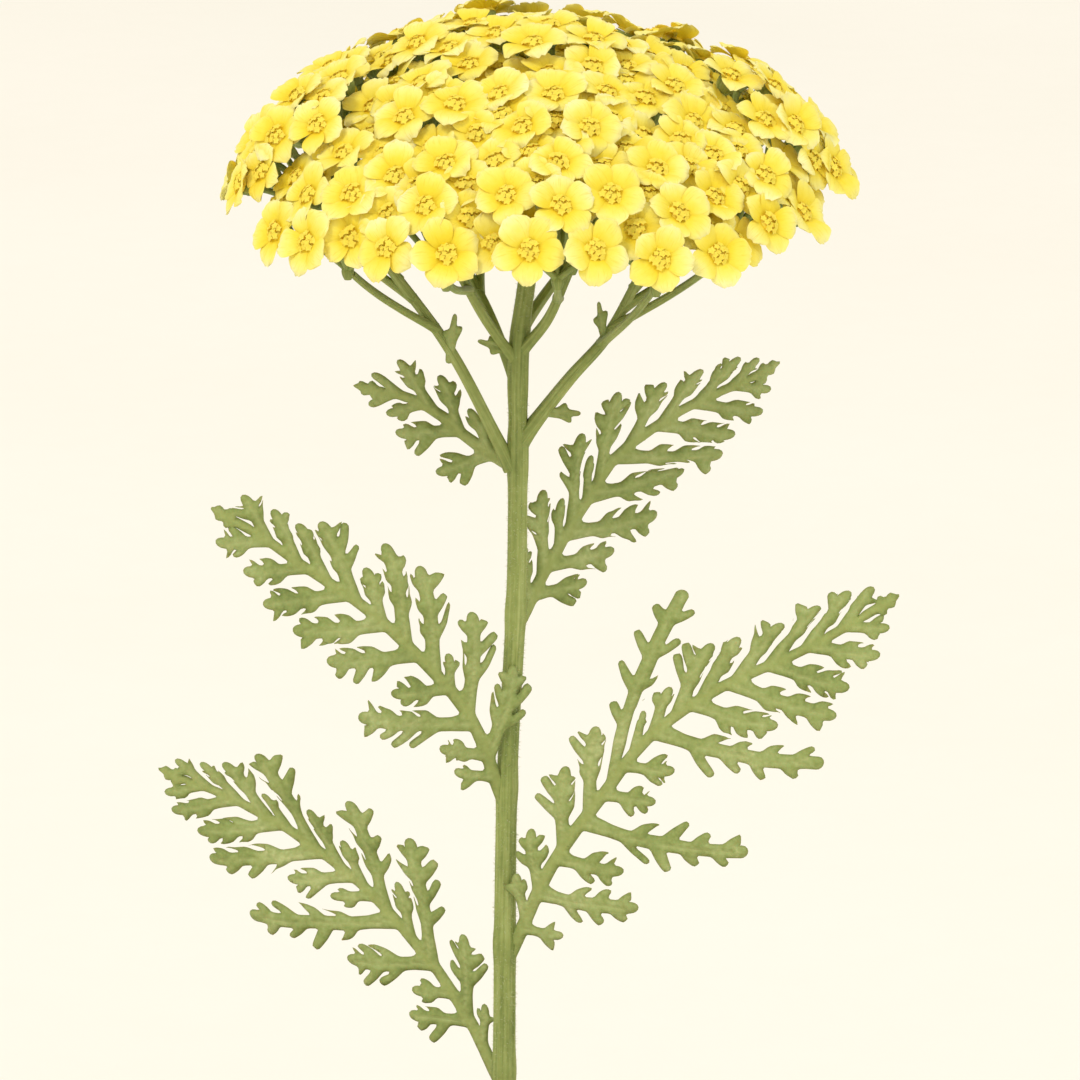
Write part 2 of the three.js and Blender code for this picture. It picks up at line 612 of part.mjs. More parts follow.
// The outline of a whole leaf in its own plane: the rib's curve with its leaflets to both sides.
function leafOutline(leaf, rib, ribLength, up, lowerReach) {
  const onRib = (distance, x, y) => {
    const place = THREE.MathUtils.clamp(distance / ribLength, 0, 1);
    const at = rib.getPointAt(place);
    const along = rib.getTangentAt(place);
    return new THREE.Vector2(at.x + x * along.x - y * along.y, at.y + x * along.y + y * along.x);
  };
  const halfRib = (distance) => mix(...RIB_HALF_WIDTH, Math.min(1, distance / ribLength));
  const side = (name, sign) => {
    const leaflets = leaf[name].map(([place, length, angle]) => ({
      root: place * ribLength,
      length: length * (name === 'lower' ? lowerReach : 1),
      half: Math.min(LEAFLET_HALF_WIDTH.most, LEAFLET_HALF_WIDTH.least + LEAFLET_HALF_WIDTH.growth * length),
      angle: radians(angle ?? mix(...leaf.angles[name], place)),
    }));
    return leaflets.flatMap(({ root, angle, half }, index) => {
      const foot = Math.min((FOOT_SPREAD * half) / Math.sin(angle), LEAFLET_FOOT);
      const edge = halfRib(root);
      const lobed = leafletPoints(leaflets, index).map(([along, ahead]) => onRib(
        root,
        along * Math.cos(angle) + ahead * Math.sin(angle),
        sign * (edge + along * Math.sin(angle) - ahead * Math.cos(angle))));
      return [onRib(root - foot, 0, sign * edge), ...lobed, onRib(root + foot, 0, sign * edge)];
    });
  };
  return [onRib(0, 0, up * RIB_HALF_WIDTH[0]), ...side('upper', up), onRib(ribLength, -0.6, up * 0.6),
    onRib(ribLength, 1.4, 0), onRib(ribLength, -0.6, -up * 0.6), ...side('lower', -up).reverse(),
    onRib(0, 0, -up * RIB_HALF_WIDTH[0])];
}

// A leaf: a thin blade cut to its outline in the plane of two axes, then bowed and folded up at
// the rib. It starts inside the stem and is cut back to stand just clear of it.
function makeLeaf(leaf) {
  const path = leaf.path.map(vector);
  const out = path.at(-1).clone().sub(path[0]).setZ(0).normalize();
  const face = leaf.facing ? vector(leaf.facing) : new THREE.Vector3(out.y, -out.x, 0);
  if (face.y > 0) face.negate();
  const across = new THREE.Vector3().crossVectors(face, out);
  const inPlane = path.map((at) => new THREE.Vector3(at.dot(out), at.dot(across), 0));
  const rib = new THREE.CatmullRomCurve3(inPlane, false, 'centripetal');
  const bow = path.map((at) => at.dot(face));
  const ribLength = rib.getLength();
  const up = across.z < 0 ? -1 : 1;
  const spine = Array.from({ length: 40 }, (_, i) => rib.getPoint(i / 39));
  const bowAt = (place) => {
    const span = place * (bow.length - 1);
    const knot = Math.min(bow.length - 2, Math.floor(span));
    return mix(bow[knot], bow[knot + 1], THREE.MathUtils.smoothstep(span - knot, 0, 1));
  };
  const flat = new THREE.ExtrudeGeometry(
    new THREE.Shape(leafOutline(leaf, rib, ribLength, up, 1 / Math.max(0.85, Math.abs(out.x)))),
    { depth: 1, bevelEnabled: false });
  const blade = solid(reshaped(flat, (x, y, z) => {
    let nearest = 0;
    let apart = Infinity;
    spine.forEach((at, i) => {
      const distance = Math.hypot(at.x - x, at.y - y);
      if (distance < apart) {
        apart = distance;
        nearest = i / (spine.length - 1);
      }
    });
    const thickness = mix(RIB_THICKNESS, leaf.thickness ?? LEAF_THICKNESS, Math.min(1, apart / 2.5));
    const lift = apart * Math.sin(radians(leaf.fold)) - (apart * apart) / 90 + (z - 0.5) * thickness;
    return new THREE.Vector3()
      .addScaledVector(out, x)
      .addScaledVector(across, y)
      .addScaledVector(face, bowAt(nearest) + lift);
  }));
  return largest(blade.subtract(roomForStem));
}

function basalLeaf(index) {
  const turn = radians(BASAL_START + (360 * index) / BASAL_LEAVES);
  const reach = mix(0.9, 1.04, draw(index, 60));
  const path = BASAL_ARCH.map(([r, z], i) => {
    const bend = turn + radians(mix(-5, 5, draw(index, 61))) * i * 0.6;
    return [r * (i ? reach : 1) * Math.cos(bend), r * (i ? reach : 1) * Math.sin(bend), z];
  });
  const pairs = (shift) => Array.from({ length: BASAL_PAIRS }, (_, i) => {
    const place = 0.3 + (0.62 * (i + shift)) / BASAL_PAIRS;
    const envelope = Math.sin(Math.PI * mix(0.22, 0.88, i / (BASAL_PAIRS - 1)));
    return [place, BASAL_LEAFLET * envelope * mix(0.85, 1.1, draw(index + 7 * i, 62 + shift))];
  });
  return makeLeaf({
    path,
    facing: [0, 0, 1],
    fold: 16,
    thickness: 0.95,
    angles: { upper: [62, 42], lower: [62, 42] },
    upper: pairs(0),
    lower: pairs(0.4),
  });
}

// Assembly

function mesh(name, made, colour, roughness) {
  const finish = new THREE.MeshStandardMaterial({ color: colour, roughness, metalness: 0 });
  const piece = new THREE.Mesh(geometryOf(made), finish);
  piece.name = name;
  return piece;
}

const yarrow = new THREE.Group();
const two = (number) => String(number).padStart(2, '0');
yarrow.add(mesh('pot', makePot(), COLOURS.pot, 0.9));
yarrow.add(mesh('soil', makeSoil(), COLOURS.soil, 1));
yarrow.add(mesh('stem', makeStem(), COLOURS.stem, 0.65));
STEM_LEAVES.forEach((leaf) => yarrow.add(mesh(leaf.name, makeLeaf(leaf), COLOURS.leaf, 0.7)));
for (let i = 0; i < BASAL_LEAVES; i += 1) {
  yarrow.add(mesh(`basal_leaf_${i + 1}`, basalLeaf(i), COLOURS.leaf, 0.7));
}
SPRAYS.forEach((spray, i) => {
  yarrow.add(mesh(`stalks_${two(i + 1)}`, makeStalks(spray, i), COLOURS.stalks, 0.7));
  yarrow.add(mesh(`blooms_${two(i + 1)}`, makeBlooms(spray, i), COLOURS.bloom, 0.6));
});

export default yarrow;
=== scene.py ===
"""A yellow yarrow in a plain clay pot: feathery leaves up one stem, and a domed head of blooms.

Sizes are millimetres until a mesh is made; the scene is in metres. +Z is up and the plant's
front faces -Y. The plant's plan is the same as the solids': paths, leaflets and blooms stand
where those do, and this file gives them their finer shapes and finishes.
"""

import math

import bmesh
import bpy
import numpy as np
from mathutils import Matrix, Vector, kdtree
from mathutils.geometry import delaunay_2d_cdt


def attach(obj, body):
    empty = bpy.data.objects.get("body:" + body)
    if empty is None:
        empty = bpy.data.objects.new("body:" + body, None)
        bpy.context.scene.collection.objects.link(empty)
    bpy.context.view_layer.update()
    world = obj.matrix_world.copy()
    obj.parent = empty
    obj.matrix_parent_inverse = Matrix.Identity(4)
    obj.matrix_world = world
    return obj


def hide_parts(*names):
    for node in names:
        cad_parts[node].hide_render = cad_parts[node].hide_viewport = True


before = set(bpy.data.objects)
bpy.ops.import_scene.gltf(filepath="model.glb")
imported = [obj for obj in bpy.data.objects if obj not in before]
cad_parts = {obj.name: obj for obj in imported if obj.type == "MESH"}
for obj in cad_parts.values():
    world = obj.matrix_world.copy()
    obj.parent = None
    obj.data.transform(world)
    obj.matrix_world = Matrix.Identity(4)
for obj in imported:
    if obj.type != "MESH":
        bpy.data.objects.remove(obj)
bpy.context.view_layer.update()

MM = 0.001
SHARP_FROM = math.radians(75)

# The plant's plan, shared with the solids

SOIL_LEVEL = 96
ROOT_DEPTH = 54
STEM_RADIUS_LOW = 2.0
STEM_RADIUS_HIGH = 1.3
STEM_PATH = [(0, 0, 42), (0, 0, 96), (0.5, 0, 136), (1.1, 0.4, 186), (2.6, 0.2, 216), (2.9, 0, 240),
             (3.1, 0, 258), (4.8, 0.5, 272), (7, 1, 292)]
BRANCHES = {
    "left": ((1.05, 0.75), [(1.9, 0, 238), (-8, -2, 258), (-18, -6, 273)]),
    "right": ((1.15, 0.75), [(3, 0, 242), (11.2, -1, 253), (17, -2, 260), (22.5, -4, 271)]),
    "front_left": ((0.9, 0.7), [(3, 0, 255), (-1.6, -3, 262), (-6.4, -9, 272)]),
    "front_right": ((0.9, 0.7), [(3, 0, 256.5), (7.5, -4, 263), (11, -9, 272)]),
    "back_left": ((0.95, 0.7), [(3, 0, 251), (-2, 8, 262), (-8, 16, 272)]),
    "back_right": ((0.95, 0.7), [(3, 0, 260), (9, 8, 267), (16, 15, 274)]),
    "leader": ((STEM_RADIUS_HIGH, 1), STEM_PATH[-3:]),
}
HEAD_AXIS = (7.2, 0)
SPRAY_TILT = 48
OUTER_RING = 40
SPRAYS = [
    ((8, 0, 308.5), "leader", 1),
    ((8.5, -21, 301.5), "front_right", 1),
    ((27, -11, 301), "right", 1),
    ((24, 11.5, 303), "back_right", 1),
    ((6.5, 21, 305.5), "back_right", 0.8),
    ((-11, 11, 305.5), "back_left", 1),
    ((-11.5, -10.5, 301.5), "left", 1),
    ((9.4, -41, 288.5), "front_right", 0.7),
    ((27, -36.5, 286.5), "right", 0.6),
    ((40.5, -23, 289.5), "right", 0.7),
    ((48.5, -3, 294), "right", 0.8),
    ((44, 18, 295), "right", 0.9),
    ((32.5, 33, 296), "back_right", 0.7),
    ((15, 41, 297.5), "back_right", 0.6),
    ((-4, 41, 299), "back_left", 0.62),
    ((-20.5, 31, 297), "back_left", 0.85),
    ((-32, 16, 294), "left", 0.9),
    ((-37, -3, 292), "left", 0.8),
    ((-28.5, -23, 286.5), "left", 0.65),
    ((-10.5, -36.5, 287.5), "front_left", 0.8),
]
SPRAY_DOME_RADIUS = 26
SPRAY_REACH = 15
BLOOM_RADIUS = 5.5
BLOOM_SPACING = 8.2
BLOOM_CLEARANCE = 6.8
BLOOM_ROUNDS = 2
PETALS = 5
DISC_RADIUS = 1.5
CUP_HEIGHT = 2.6
HUB_DEPTH = 8
HUB_DROP = 7
PEDICEL_BEND = 7
KNOB_RADIUS = 1.1
SEAT_GAP = 0.3
LEAN_FORWARD = 0.18
LEAN_SPREAD = 0.36
YOUNG_TRIES = 260
YOUNG_DEPTH = 7
YOUNG_ROOM = 4.6
YOUNG_SIZE = 0.92
YOUNG_DROP = 1.0
YOUNG_EDGE = 4.5
GOLDEN_TURN = 2.39996

RIB_HALF_WIDTH = (1.15, 0.7)
RIB_THICKNESS = 1.3
LEAF_THICKNESS = 0.65
EDGE_THICKNESS = 0.14
LEAFLET_FOOT = 2.3
LEAFLET_CURVE = 0.12
LOBE_WIDTH = 2.2
LEAF_TIP = [(-2.9, 0.75), (-2, 1.6), (-1.5, 1.55), (-1.2, 0.8), (-0.1, 1.2), (0.4, 1.05), (0.5, 0.55),
            (1.5, 0.2)]
TIP_STAGGER = 0.6
NEIGHBOUR_GAP = 0.3
STEM_LEAVES = {
    "leaf_1": {
        "path": [(2.2, 0.3, 238), (-5, 3, 242), (-9.6, 5, 245.5), (-15.2, 7, 248), (-22.4, 9, 249)],
        "fold": 12, "angles": {"upper": (46, 34), "lower": (62, 38)},
        "upper": [(0.2, 5.9), (0.42, 7.5), (0.62, 7.5), (0.82, 3.6)],
        "lower": [(0.185, 7.6), (0.418, 8.3), (0.67, 4.2), (0.845, 2.8)]},
    "leaf_2": {
        "path": [(2.7, 0.3, 211.5), (7.8, 4, 221), (13, 8, 229), (18.9, 12, 237), (28, 17, 242.5),
            (44.5, 22, 249.5)],
        "fold": 14, "angles": {"upper": (46, 32), "lower": (60, 36)},
        "upper": [(0.09, 7.5), (0.18, 11.5), (0.26, 5.7), (0.33, 12.6), (0.4, 5.3), (0.47, 12.1),
            (0.59, 9.2), (0.7, 8.2), (0.81, 7.3), (0.9, 4.2)],
        "lower": [(0.108, 6.9), (0.195, 9), (0.292, 13), (0.408, 13.8), (0.534, 15.1), (0.68, 10),
            (0.796, 8.1), (0.903, 3.9)]},
    "leaf_3": {
        "path": [(0.6, 0, 182), (-5, -4, 198), (-12.5, -8, 208.5), (-21, -12, 218), (-31, -15, 226),
            (-38, -18, 232), (-44, -20, 236)],
        "fold": 14, "angles": {"upper": (45, 32), "lower": (62, 36)},
        "upper": [(0.14, 13.6), (0.26, 15), (0.33, 4.4), (0.39, 16.3), (0.49, 15.2), (0.57, 7.4),
            (0.65, 12.3), (0.73, 8.6), (0.81, 7.5), (0.89, 6.7)],
        "lower": [(0.079, 5.6), (0.137, 6.9), (0.224, 17.5), (0.331, 7.8), (0.447, 12.9),
            (0.554, 12.7), (0.67, 11.1), (0.777, 8.1), (0.884, 6.4)]},
    "leaf_4": {
        "path": [(1.3, 0, 155.5), (8.6, -5, 173.5), (16, -9, 185.5), (23.6, -13, 197), (34, -17, 206),
            (48, -21, 214), (61.5, -24, 223)],
        "fold": 14, "angles": {"upper": (40, 29), "lower": (76, 36)},
        "upper": [(0.1, 5.9), (0.165, 8.3), (0.26, 11.9), (0.345, 12.9), (0.42, 33, 20), (0.49, 5.1),
            (0.54, 6.2), (0.595, 11.5), (0.65, 10), (0.72, 10), (0.78, 10.8), (0.85, 9.5), (0.92, 6.2)],
        "lower": [(0.069, 5.6), (0.146, 15.3), (0.224, 9.8), (0.311, 24.8), (0.379, 7.3), (0.447, 6.9),
            (0.534, 24.6), (0.622, 11.8), (0.699, 15.1), (0.777, 10.7), (0.855, 8.7), (0.922, 4.7)]},
    "leaf_5": {
        "path": [(0, 0.2, 133.5), (-5.6, 4, 144), (-12, 8, 152.5), (-22.4, 13, 163), (-34, 17, 171),
            (-44, 20, 176), (-56, 23, 180)],
        "fold": 14, "angles": {"upper": (45, 32), "lower": (66, 36)},
        "upper": [(0.11, 4.8), (0.18, 11.5), (0.31, 19.2), (0.38, 7.5), (0.46, 17.1), (0.53, 6.2),
            (0.595, 8.6), (0.66, 16.1), (0.73, 5.1), (0.78, 9.4), (0.85, 6.8), (0.92, 5.1)],
        "lower": [(0.156, 8.3), (0.224, 5.3), (0.302, 12.4), (0.418, 22.8), (0.491, 5.3), (0.554, 8.7),
            (0.641, 16.1), (0.748, 11.3), (0.855, 8.3), (0.932, 4.2)]},
}
BASAL_LEAVES = 5
BASAL_START = 25
BASAL_ARCH = [(2.7, 98.6), (16, 107.5), (34, 113), (54, 112), (71, 102)]
BASAL_PAIRS = 4
BASAL_LEAFLET = 11
BRACTS = [
    ((7, -0.6, 247.2), (12.8, -2.6, 247.6), 0.9),
    ((-8, -2, 256), (-7, -4.2, 264), 0.85),
    ((2.6, -0.6, 257), (-3.4, -2, 259.2), 0.8),
    ((16.6, -2, 259), (15.6, -4.4, 266), 0.7),
]
BRACT_OUTLINE = [
    (0, -0.6), (0.45, -1), (0.7, -1.8), (0.78, -1.6), (0.74, -0.6), (0.97, -0.5), (1.03, 0), (0.97, 0.4),
    (0.66, 0.7), (0.62, 1.8), (0.53, 1.8), (0.4, 1), (0, 0.6)]
BRACT_ROOT = 0.5


# Small tools

CURVE_STEPS = 30
BEND_STEPS = 24


def draw(item, purpose):
    """A repeatable draw between 0 and 1 for the item and the purpose."""
    value = math.sin(item * 12.9898 + purpose * 78.233) * 43758.5453
    return value - math.floor(value)


def mix(low, high, share):
    return low + (high - low) * share


def unit(v):
    v = np.asarray(v, float)
    return v / np.linalg.norm(v)


def catmull(points):
    """Points along a centripetal curve through the given ones."""
    p = np.asarray(points, float)
    p = np.vstack([2 * p[0] - p[1], p, 2 * p[-1] - p[-2]])
    made = []
    for a, b, c, d in zip(p, p[1:], p[2:], p[3:]):
        t0, t1, t2 = (max(1e-4, np.linalg.norm(q - r) ** 0.5) for q, r in ((b, a), (c, b), (d, c)))
        m1 = ((b - a) / t0 - (c - a) / (t0 + t1) + (c - b) / t1) * t1
        m2 = ((c - b) / t1 - (d - b) / (t1 + t2) + (d - c) / t2) * t1
        t = np.linspace(0, 1, CURVE_STEPS, endpoint=False)[:, None]
        made.append(b + m1 * t + (3 * (c - b) - 2 * m1 - m2) * t**2 + (2 * (b - c) + m1 + m2) * t**3)
    return np.vstack([*made, p[-2]])


def bezier(a, b, c):
    """Points along a bend from a to c that is drawn towards b."""
    a, b, c = (np.asarray(point, float) for point in (a, b, c))
    t = np.linspace(0, 1, BEND_STEPS + 1)[:, None]
    return (1 - t) ** 2 * a + 2 * t * (1 - t) * b + t**2 * c


def full_turn(sides):
    """Even angles once round."""
    return np.arange(sides) / sides * 2 * math.pi


def fade(gap, width):
    """1 where there is no gap, fading to 0 over a width."""
    return np.exp(-((gap / width) ** 2))


class Way:
    """A path through space, measured along its length."""

    def __init__(self, points):
        self.points = np.asarray(points, float)
        steps = np.linalg.norm(np.diff(self.points, axis=0), axis=1)
        self.run = np.concatenate([[0], np.cumsum(steps)])
        self.length = self.run[-1]

    def at(self, place):
        where = np.clip(place, 0, 1) * self.length
        return np.array([np.interp(where, self.run, column) for column in self.points.T])

    def tangent(self, place):
        return unit(self.at(min(1, place + 0.004)) - self.at(max(0, place - 0.004)))


BRANCH_WAYS = {name: Way(catmull(path)) for name, (_, path) in BRANCHES.items()}
STEM_WAY = Way(catmull(STEM_PATH))


def shown(name, held):
    """A mesh, lamp or camera put into the scene."""
    made = bpy.data.objects.new(name, held)
    bpy.context.scene.collection.objects.link(made)
    return made


def new_piece(name, points, faces, finish, values=None, smooth=True):
    """A mesh piece from points in millimetres, with values stored on its points."""
    mesh = bpy.data.meshes.new(name)
    mesh.from_pydata((np.asarray(points, float) * MM).tolist(), [], [list(f) for f in faces])
    for key, numbers in (values or {}).items():
        layer = mesh.attributes.new(key, "FLOAT", "POINT")
        layer.data.foreach_set("value", np.asarray(numbers, np.float32))
    mesh.materials.append(finish)
    mesh.update()
    if smooth:
        mesh.shade_smooth()
        mesh.set_sharp_from_angle(angle=SHARP_FROM)
    return shown(name, mesh)


class Stock:
    """Collects the shells of one piece with the values on their points."""

    def __init__(self, *keys):
        self.points, self.faces, self.count = [], [], 0
        self.values = {key: [] for key in keys}

    def add(self, points, faces, **values):
        points = np.asarray(points, float)
        self.faces += [[i + self.count for i in face] for face in faces]
        self.points.append(points)
        self.count += len(points)
        for key, held in self.values.items():
            held.append(np.broadcast_to(np.asarray(values.get(key, 0), float), len(points)))

    def grow(self, way, radius_at, **shape):
        """Adds a stalk along a way."""
        points, faces, along, around = tube(way, radius_at, **shape)
        self.add(points, faces, along=along, around=around)

    def piece(self, name, finish):
        values = {key: np.concatenate(held) for key, held in self.values.items()}
        return new_piece(name, np.vstack(self.points), self.faces, finish, values)


def ringed_faces(rows, sides):
    """The faces of rows of rings, with a pole point closing each end."""
    faces = []
    for row in range(rows - 1):
        for k in range(sides):
            a, b = row * sides + k, row * sides + (k + 1) % sides
            faces.append((a, b, b + sides, a + sides))
    first, last = rows * sides, rows * sides + 1
    faces += [(first, (k + 1) % sides, k) for k in range(sides)]
    top = (rows - 1) * sides
    faces += [(last, top + k, top + (k + 1) % sides) for k in range(sides)]
    return faces


def tube(way, radius_at, rows, sides, relief=None):
    """A closed stalk along a way. Gives its points, faces, and place along and around it."""
    places = np.linspace(0, 1, rows)
    side = np.cross(way.tangent(0), (0.3, 1, 0.1))
    points, along, around = [], [], []
    turns = full_turn(sides)
    for place in places:
        forward = way.tangent(place)
        side = unit(side - forward * np.dot(side, forward))
        third = np.cross(forward, side)
        radius = radius_at(place) * (1 + (relief(turns, place) if relief else 0 * turns))
        ring = np.outer(np.cos(turns) * radius, side), np.outer(np.sin(turns) * radius, third)
        points.append(way.at(place) + ring[0] + ring[1])
        along += [place * way.length] * sides
        around += list(turns)
    points = np.vstack([*points, way.at(0), way.at(1)])
    return points, ringed_faces(rows, sides), along + [0, way.length], around + [0, 0]


# Finishes


def new_group(name, inputs, outputs):
    group = bpy.data.node_groups.new(name, "ShaderNodeTree")
    for label, kind, value in inputs:
        socket = group.interface.new_socket(label, in_out="INPUT", socket_type=kind)
        socket.default_value = value
    for label, kind in outputs:
        group.interface.new_socket(label, in_out="OUTPUT", socket_type=kind)
    return group, group.nodes.new("NodeGroupInput"), group.nodes.new("NodeGroupOutput")


def node(tree, kind, given=None, **settings):
    """A node with its settings, and its sockets given a value or another node's socket."""
    made = tree.nodes.new(kind)
    for key, value in settings.items():
        setattr(made, key, value)
    for key, value in (given or {}).items():
        if isinstance(value, bpy.types.NodeSocket):
            tree.links.new(value, made.inputs[key])
        else:
            made.inputs[key].default_value = value
    return made


def srgb(r, g, b):
    """A colour given as it looks, out of 255, in the render's own terms."""
    linear = [(c / 255 / 12.92 if c <= 10 else ((c / 255 + 0.055) / 1.055) ** 2.4) for c in (r, g, b)]
    return (*linear, 1)


def ramp(tree, source, stops):
    """A share turned into a colour between stops, each a place and a colour as it looks."""
    made = tree.nodes.new("ShaderNodeValToRGB")
    band = made.color_ramp.elements
    while len(band) < len(stops):
        band.new(0.5)
    for element, (place, colour) in zip(band, stops):
        element.position = place
        element.color = srgb(*colour)
    tree.links.new(source, made.inputs[0])
    return made.outputs["Color"]


def blend(tree, share, first, second):
    return node(tree, "ShaderNodeMix", {0: share, 6: first, 7: second}, data_type="RGBA").outputs[2]


def maths(tree, operation, *values):
    return node(tree, "ShaderNodeMath", dict(enumerate(values)), operation=operation).outputs[0]


def product(tree, first, second):
    return maths(tree, "MULTIPLY", first, second)


def noise(tree, place, scale, detail, roughness=0.5):
    return node(tree, "ShaderNodeTexNoise", {
        "Vector": place, "Scale": scale, "Detail": detail, "Roughness": roughness}).outputs[0]


def spread(tree, value, low, high, first=0.0, last=1.0):
    """A value's stretch from low to high spread over another stretch, and held at its ends."""
    return node(tree, "ShaderNodeMapRange", {0: value, 1: low, 2: high, 3: first, 4: last}).outputs[0]


def uneven(tree, value, clouds, amount):
    """A value pushed up and down by clouds."""
    return maths(tree, "ADD", value, product(tree, maths(tree, "SUBTRACT", clouds, 0.5), amount))


def stored(tree, name):
    return node(tree, "ShaderNodeAttribute", attribute_name=name).outputs["Fac"]


def object_place(tree):
    return node(tree, "ShaderNodeTexCoord").outputs["Object"]


def make_mottle():
    """Uneven pigment: soft clouds with finer speckle, as a share from 0 to 1."""
    group, given, out = new_group(
        "uneven pigment",
        [("Cloud size", "NodeSocketFloat", 120.0), ("Speckle size", "NodeSocketFloat", 900.0),
         ("Speckle share", "NodeSocketFloat", 0.35)],
        [("Share", "NodeSocketFloat")])
    place = object_place(group)
    cloud = noise(group, place, given.outputs[0], 3.0)
    speckle = noise(group, place, given.outputs[1], 2.0)
    mixed = node(group, "ShaderNodeMix", {0: given.outputs[2], 2: cloud, 3: speckle}, data_type="FLOAT")
    group.links.new(spread(group, mixed.outputs[0], 0.3, 0.7), out.inputs[0])
    return group


def make_fine_skin():
    """Fine relief of cells or grains, as a normal."""
    group, given, out = new_group(
        "fine skin",
        [("Size", "NodeSocketFloat", 1500.0), ("Depth", "NodeSocketFloat", 0.2),
         ("Height added", "NodeSocketFloat", 0.0)],
        [("Normal", "NodeSocketVector")])
    grain = noise(group, object_place(group), given.outputs[0], 3.0)
    height = maths(group, "ADD", grain, given.outputs[2])
    bump = node(group, "ShaderNodeBump", {"Height": height, "Strength": given.outputs[1], "Distance": 0.0003})
    group.links.new(bump.outputs[0], out.inputs[0])
    return group


MOTTLE = make_mottle()
FINE_SKIN = make_fine_skin()


def new_finish(name, **settings):
    material = bpy.data.materials.new(name)
    material.use_nodes = True
    shader = material.node_tree.nodes["Principled BSDF"]
    for key, value in settings.items():
        shader.inputs[key.replace("_", " ")].default_value = value
    return material, material.node_tree, shader


def use(tree, group, **values):
    given = {key.replace("_", " "): value for key, value in values.items()}
    return node(tree, "ShaderNodeGroup", given, node_tree=group).outputs[0]


def dress(tree, shader, colour, **skin):
    """Gives a finish its colour and its fine skin."""
    tree.links.new(colour, shader.inputs["Base Color"])
    if skin:
        tree.links.new(use(tree, FINE_SKIN, **skin), shader.inputs["Normal"])


def petal_finish():
    material, tree, shader = new_finish(
        "petal", Roughness=0.62, Subsurface_Weight=0.12, Subsurface_Scale=0.001,
        Subsurface_Radius=(1.0, 0.85, 0.4), Specular_IOR_Level=0.25)
    reach, across, tone = stored(tree, "reach"), stored(tree, "across"), stored(tree, "tone")
    clouds = use(tree, MOTTLE, Cloud_size=170.0, Speckle_size=800.0, Speckle_share=0.3)
    shifted = uneven(tree, reach, clouds, 0.4)
    body = ramp(tree, shifted, [
        (0.0, (246, 212, 36)), (0.25, (251, 226, 66)), (0.5, (253, 236, 106)),
        (0.75, (254, 242, 142)), (1.0, (254, 246, 174))])
    deep = ramp(tree, shifted, [
        (0.0, (242, 206, 26)), (0.3, (249, 220, 50)), (0.65, (252, 231, 86)),
        (1.0, (253, 239, 128))])
    body = blend(tree, tone, body, deep)
    place = node(tree, "ShaderNodeCombineXYZ", {
        0: product(tree, across, 5.0), 1: reach, 2: product(tree, tone, 40.0)})
    streak = noise(tree, place.outputs[0], 2.2, 2.0)
    body = blend(tree, spread(tree, streak, 0.56, 0.7, 0.0, 0.35), body, srgb(232, 200, 30))
    dress(tree, shader, body, Size=900.0, Depth=0.25, Height_added=product(tree, streak, 0.8))
    return material


def disc_finish():
    material, tree, shader = new_finish(
        "disc florets", Roughness=0.7, Subsurface_Weight=0.1, Subsurface_Scale=0.001)
    clouds = use(tree, MOTTLE, Cloud_size=600.0, Speckle_size=2200.0, Speckle_share=0.4)
    # Darker gold low down and paler gold high up, by the stored height: painted shade between the florets and
    # painted light on their tips.
    body = ramp(tree, uneven(tree, stored(tree, "height"), clouds, 0.5), [
        (0.0, (250, 224, 74)), (0.35, (251, 230, 92)), (0.7, (252, 236, 118)),
        (1.0, (253, 242, 160))])
    dress(tree, shader, body, Size=2600.0, Depth=0.4)
    return material


def leaf_finish():
    material, tree, shader = new_finish(
        "feathery leaf", Roughness=0.68, Subsurface_Weight=0.12, Subsurface_Scale=0.001,
        Specular_IOR_Level=0.3)
    vein, edge, rib = stored(tree, "vein"), stored(tree, "edge"), stored(tree, "rib")
    clouds = use(tree, MOTTLE, Cloud_size=110.0, Speckle_size=1100.0, Speckle_share=0.4)
    body = ramp(tree, clouds, [
        (0.0, (120, 134, 70)), (0.4, (144, 157, 87)), (0.7, (160, 171, 105)),
        (1.0, (184, 191, 130))])
    body = blend(tree, spread(tree, edge, 0.0, 0.32, 0.42, 0.0), body, srgb(106, 121, 56))
    body = blend(tree, product(tree, vein, 0.55), body, srgb(184, 190, 124))
    body = blend(tree, product(tree, rib, 0.6), body, srgb(166, 174, 100))
    dress(tree, shader, body, Size=1600.0, Depth=0.45, Height_added=product(tree, vein, -1.4))
    return material


def stem_finish(name, light, dark):
    material, tree, shader = new_finish(
        name, Roughness=0.6, Subsurface_Weight=0.1, Subsurface_Scale=0.001, Specular_IOR_Level=0.35)
    along, around = stored(tree, "along"), stored(tree, "around")
    place = node(tree, "ShaderNodeCombineXYZ", {
        0: product(tree, maths(tree, "COSINE", around), 3.0),
        1: product(tree, maths(tree, "SINE", around), 3.0),
        2: product(tree, along, 0.05)})
    streak = noise(tree, place.outputs[0], 1.4, 4.0)
    clouds = use(tree, MOTTLE, Cloud_size=90.0, Speckle_size=900.0, Speckle_share=0.3)
    share = maths(tree, "ADD", product(tree, streak, 0.7), product(tree, clouds, 0.3))
    # The streaks are partly the stem's real striping and partly painted highlight: the palest stop falls on
    # the same streaks that the bump raises into ridges.
    body = ramp(tree, share, [(0.3, dark), (0.52, light), (0.75, (178, 186, 116))])
    dress(tree, shader, body, Size=1400.0, Depth=0.4, Height_added=product(tree, streak, 1.6))
    return material


def hair_finish():
    material, tree, shader = new_finish("fine hairs", Roughness=0.8, Sheen_Weight=0.3)
    clouds = use(tree, MOTTLE, Cloud_size=200.0, Speckle_size=1500.0, Speckle_share=0.5)
    dress(tree, shader, ramp(tree, clouds, [(0.0, (178, 186, 128)), (1.0, (214, 218, 172))]))
    return material


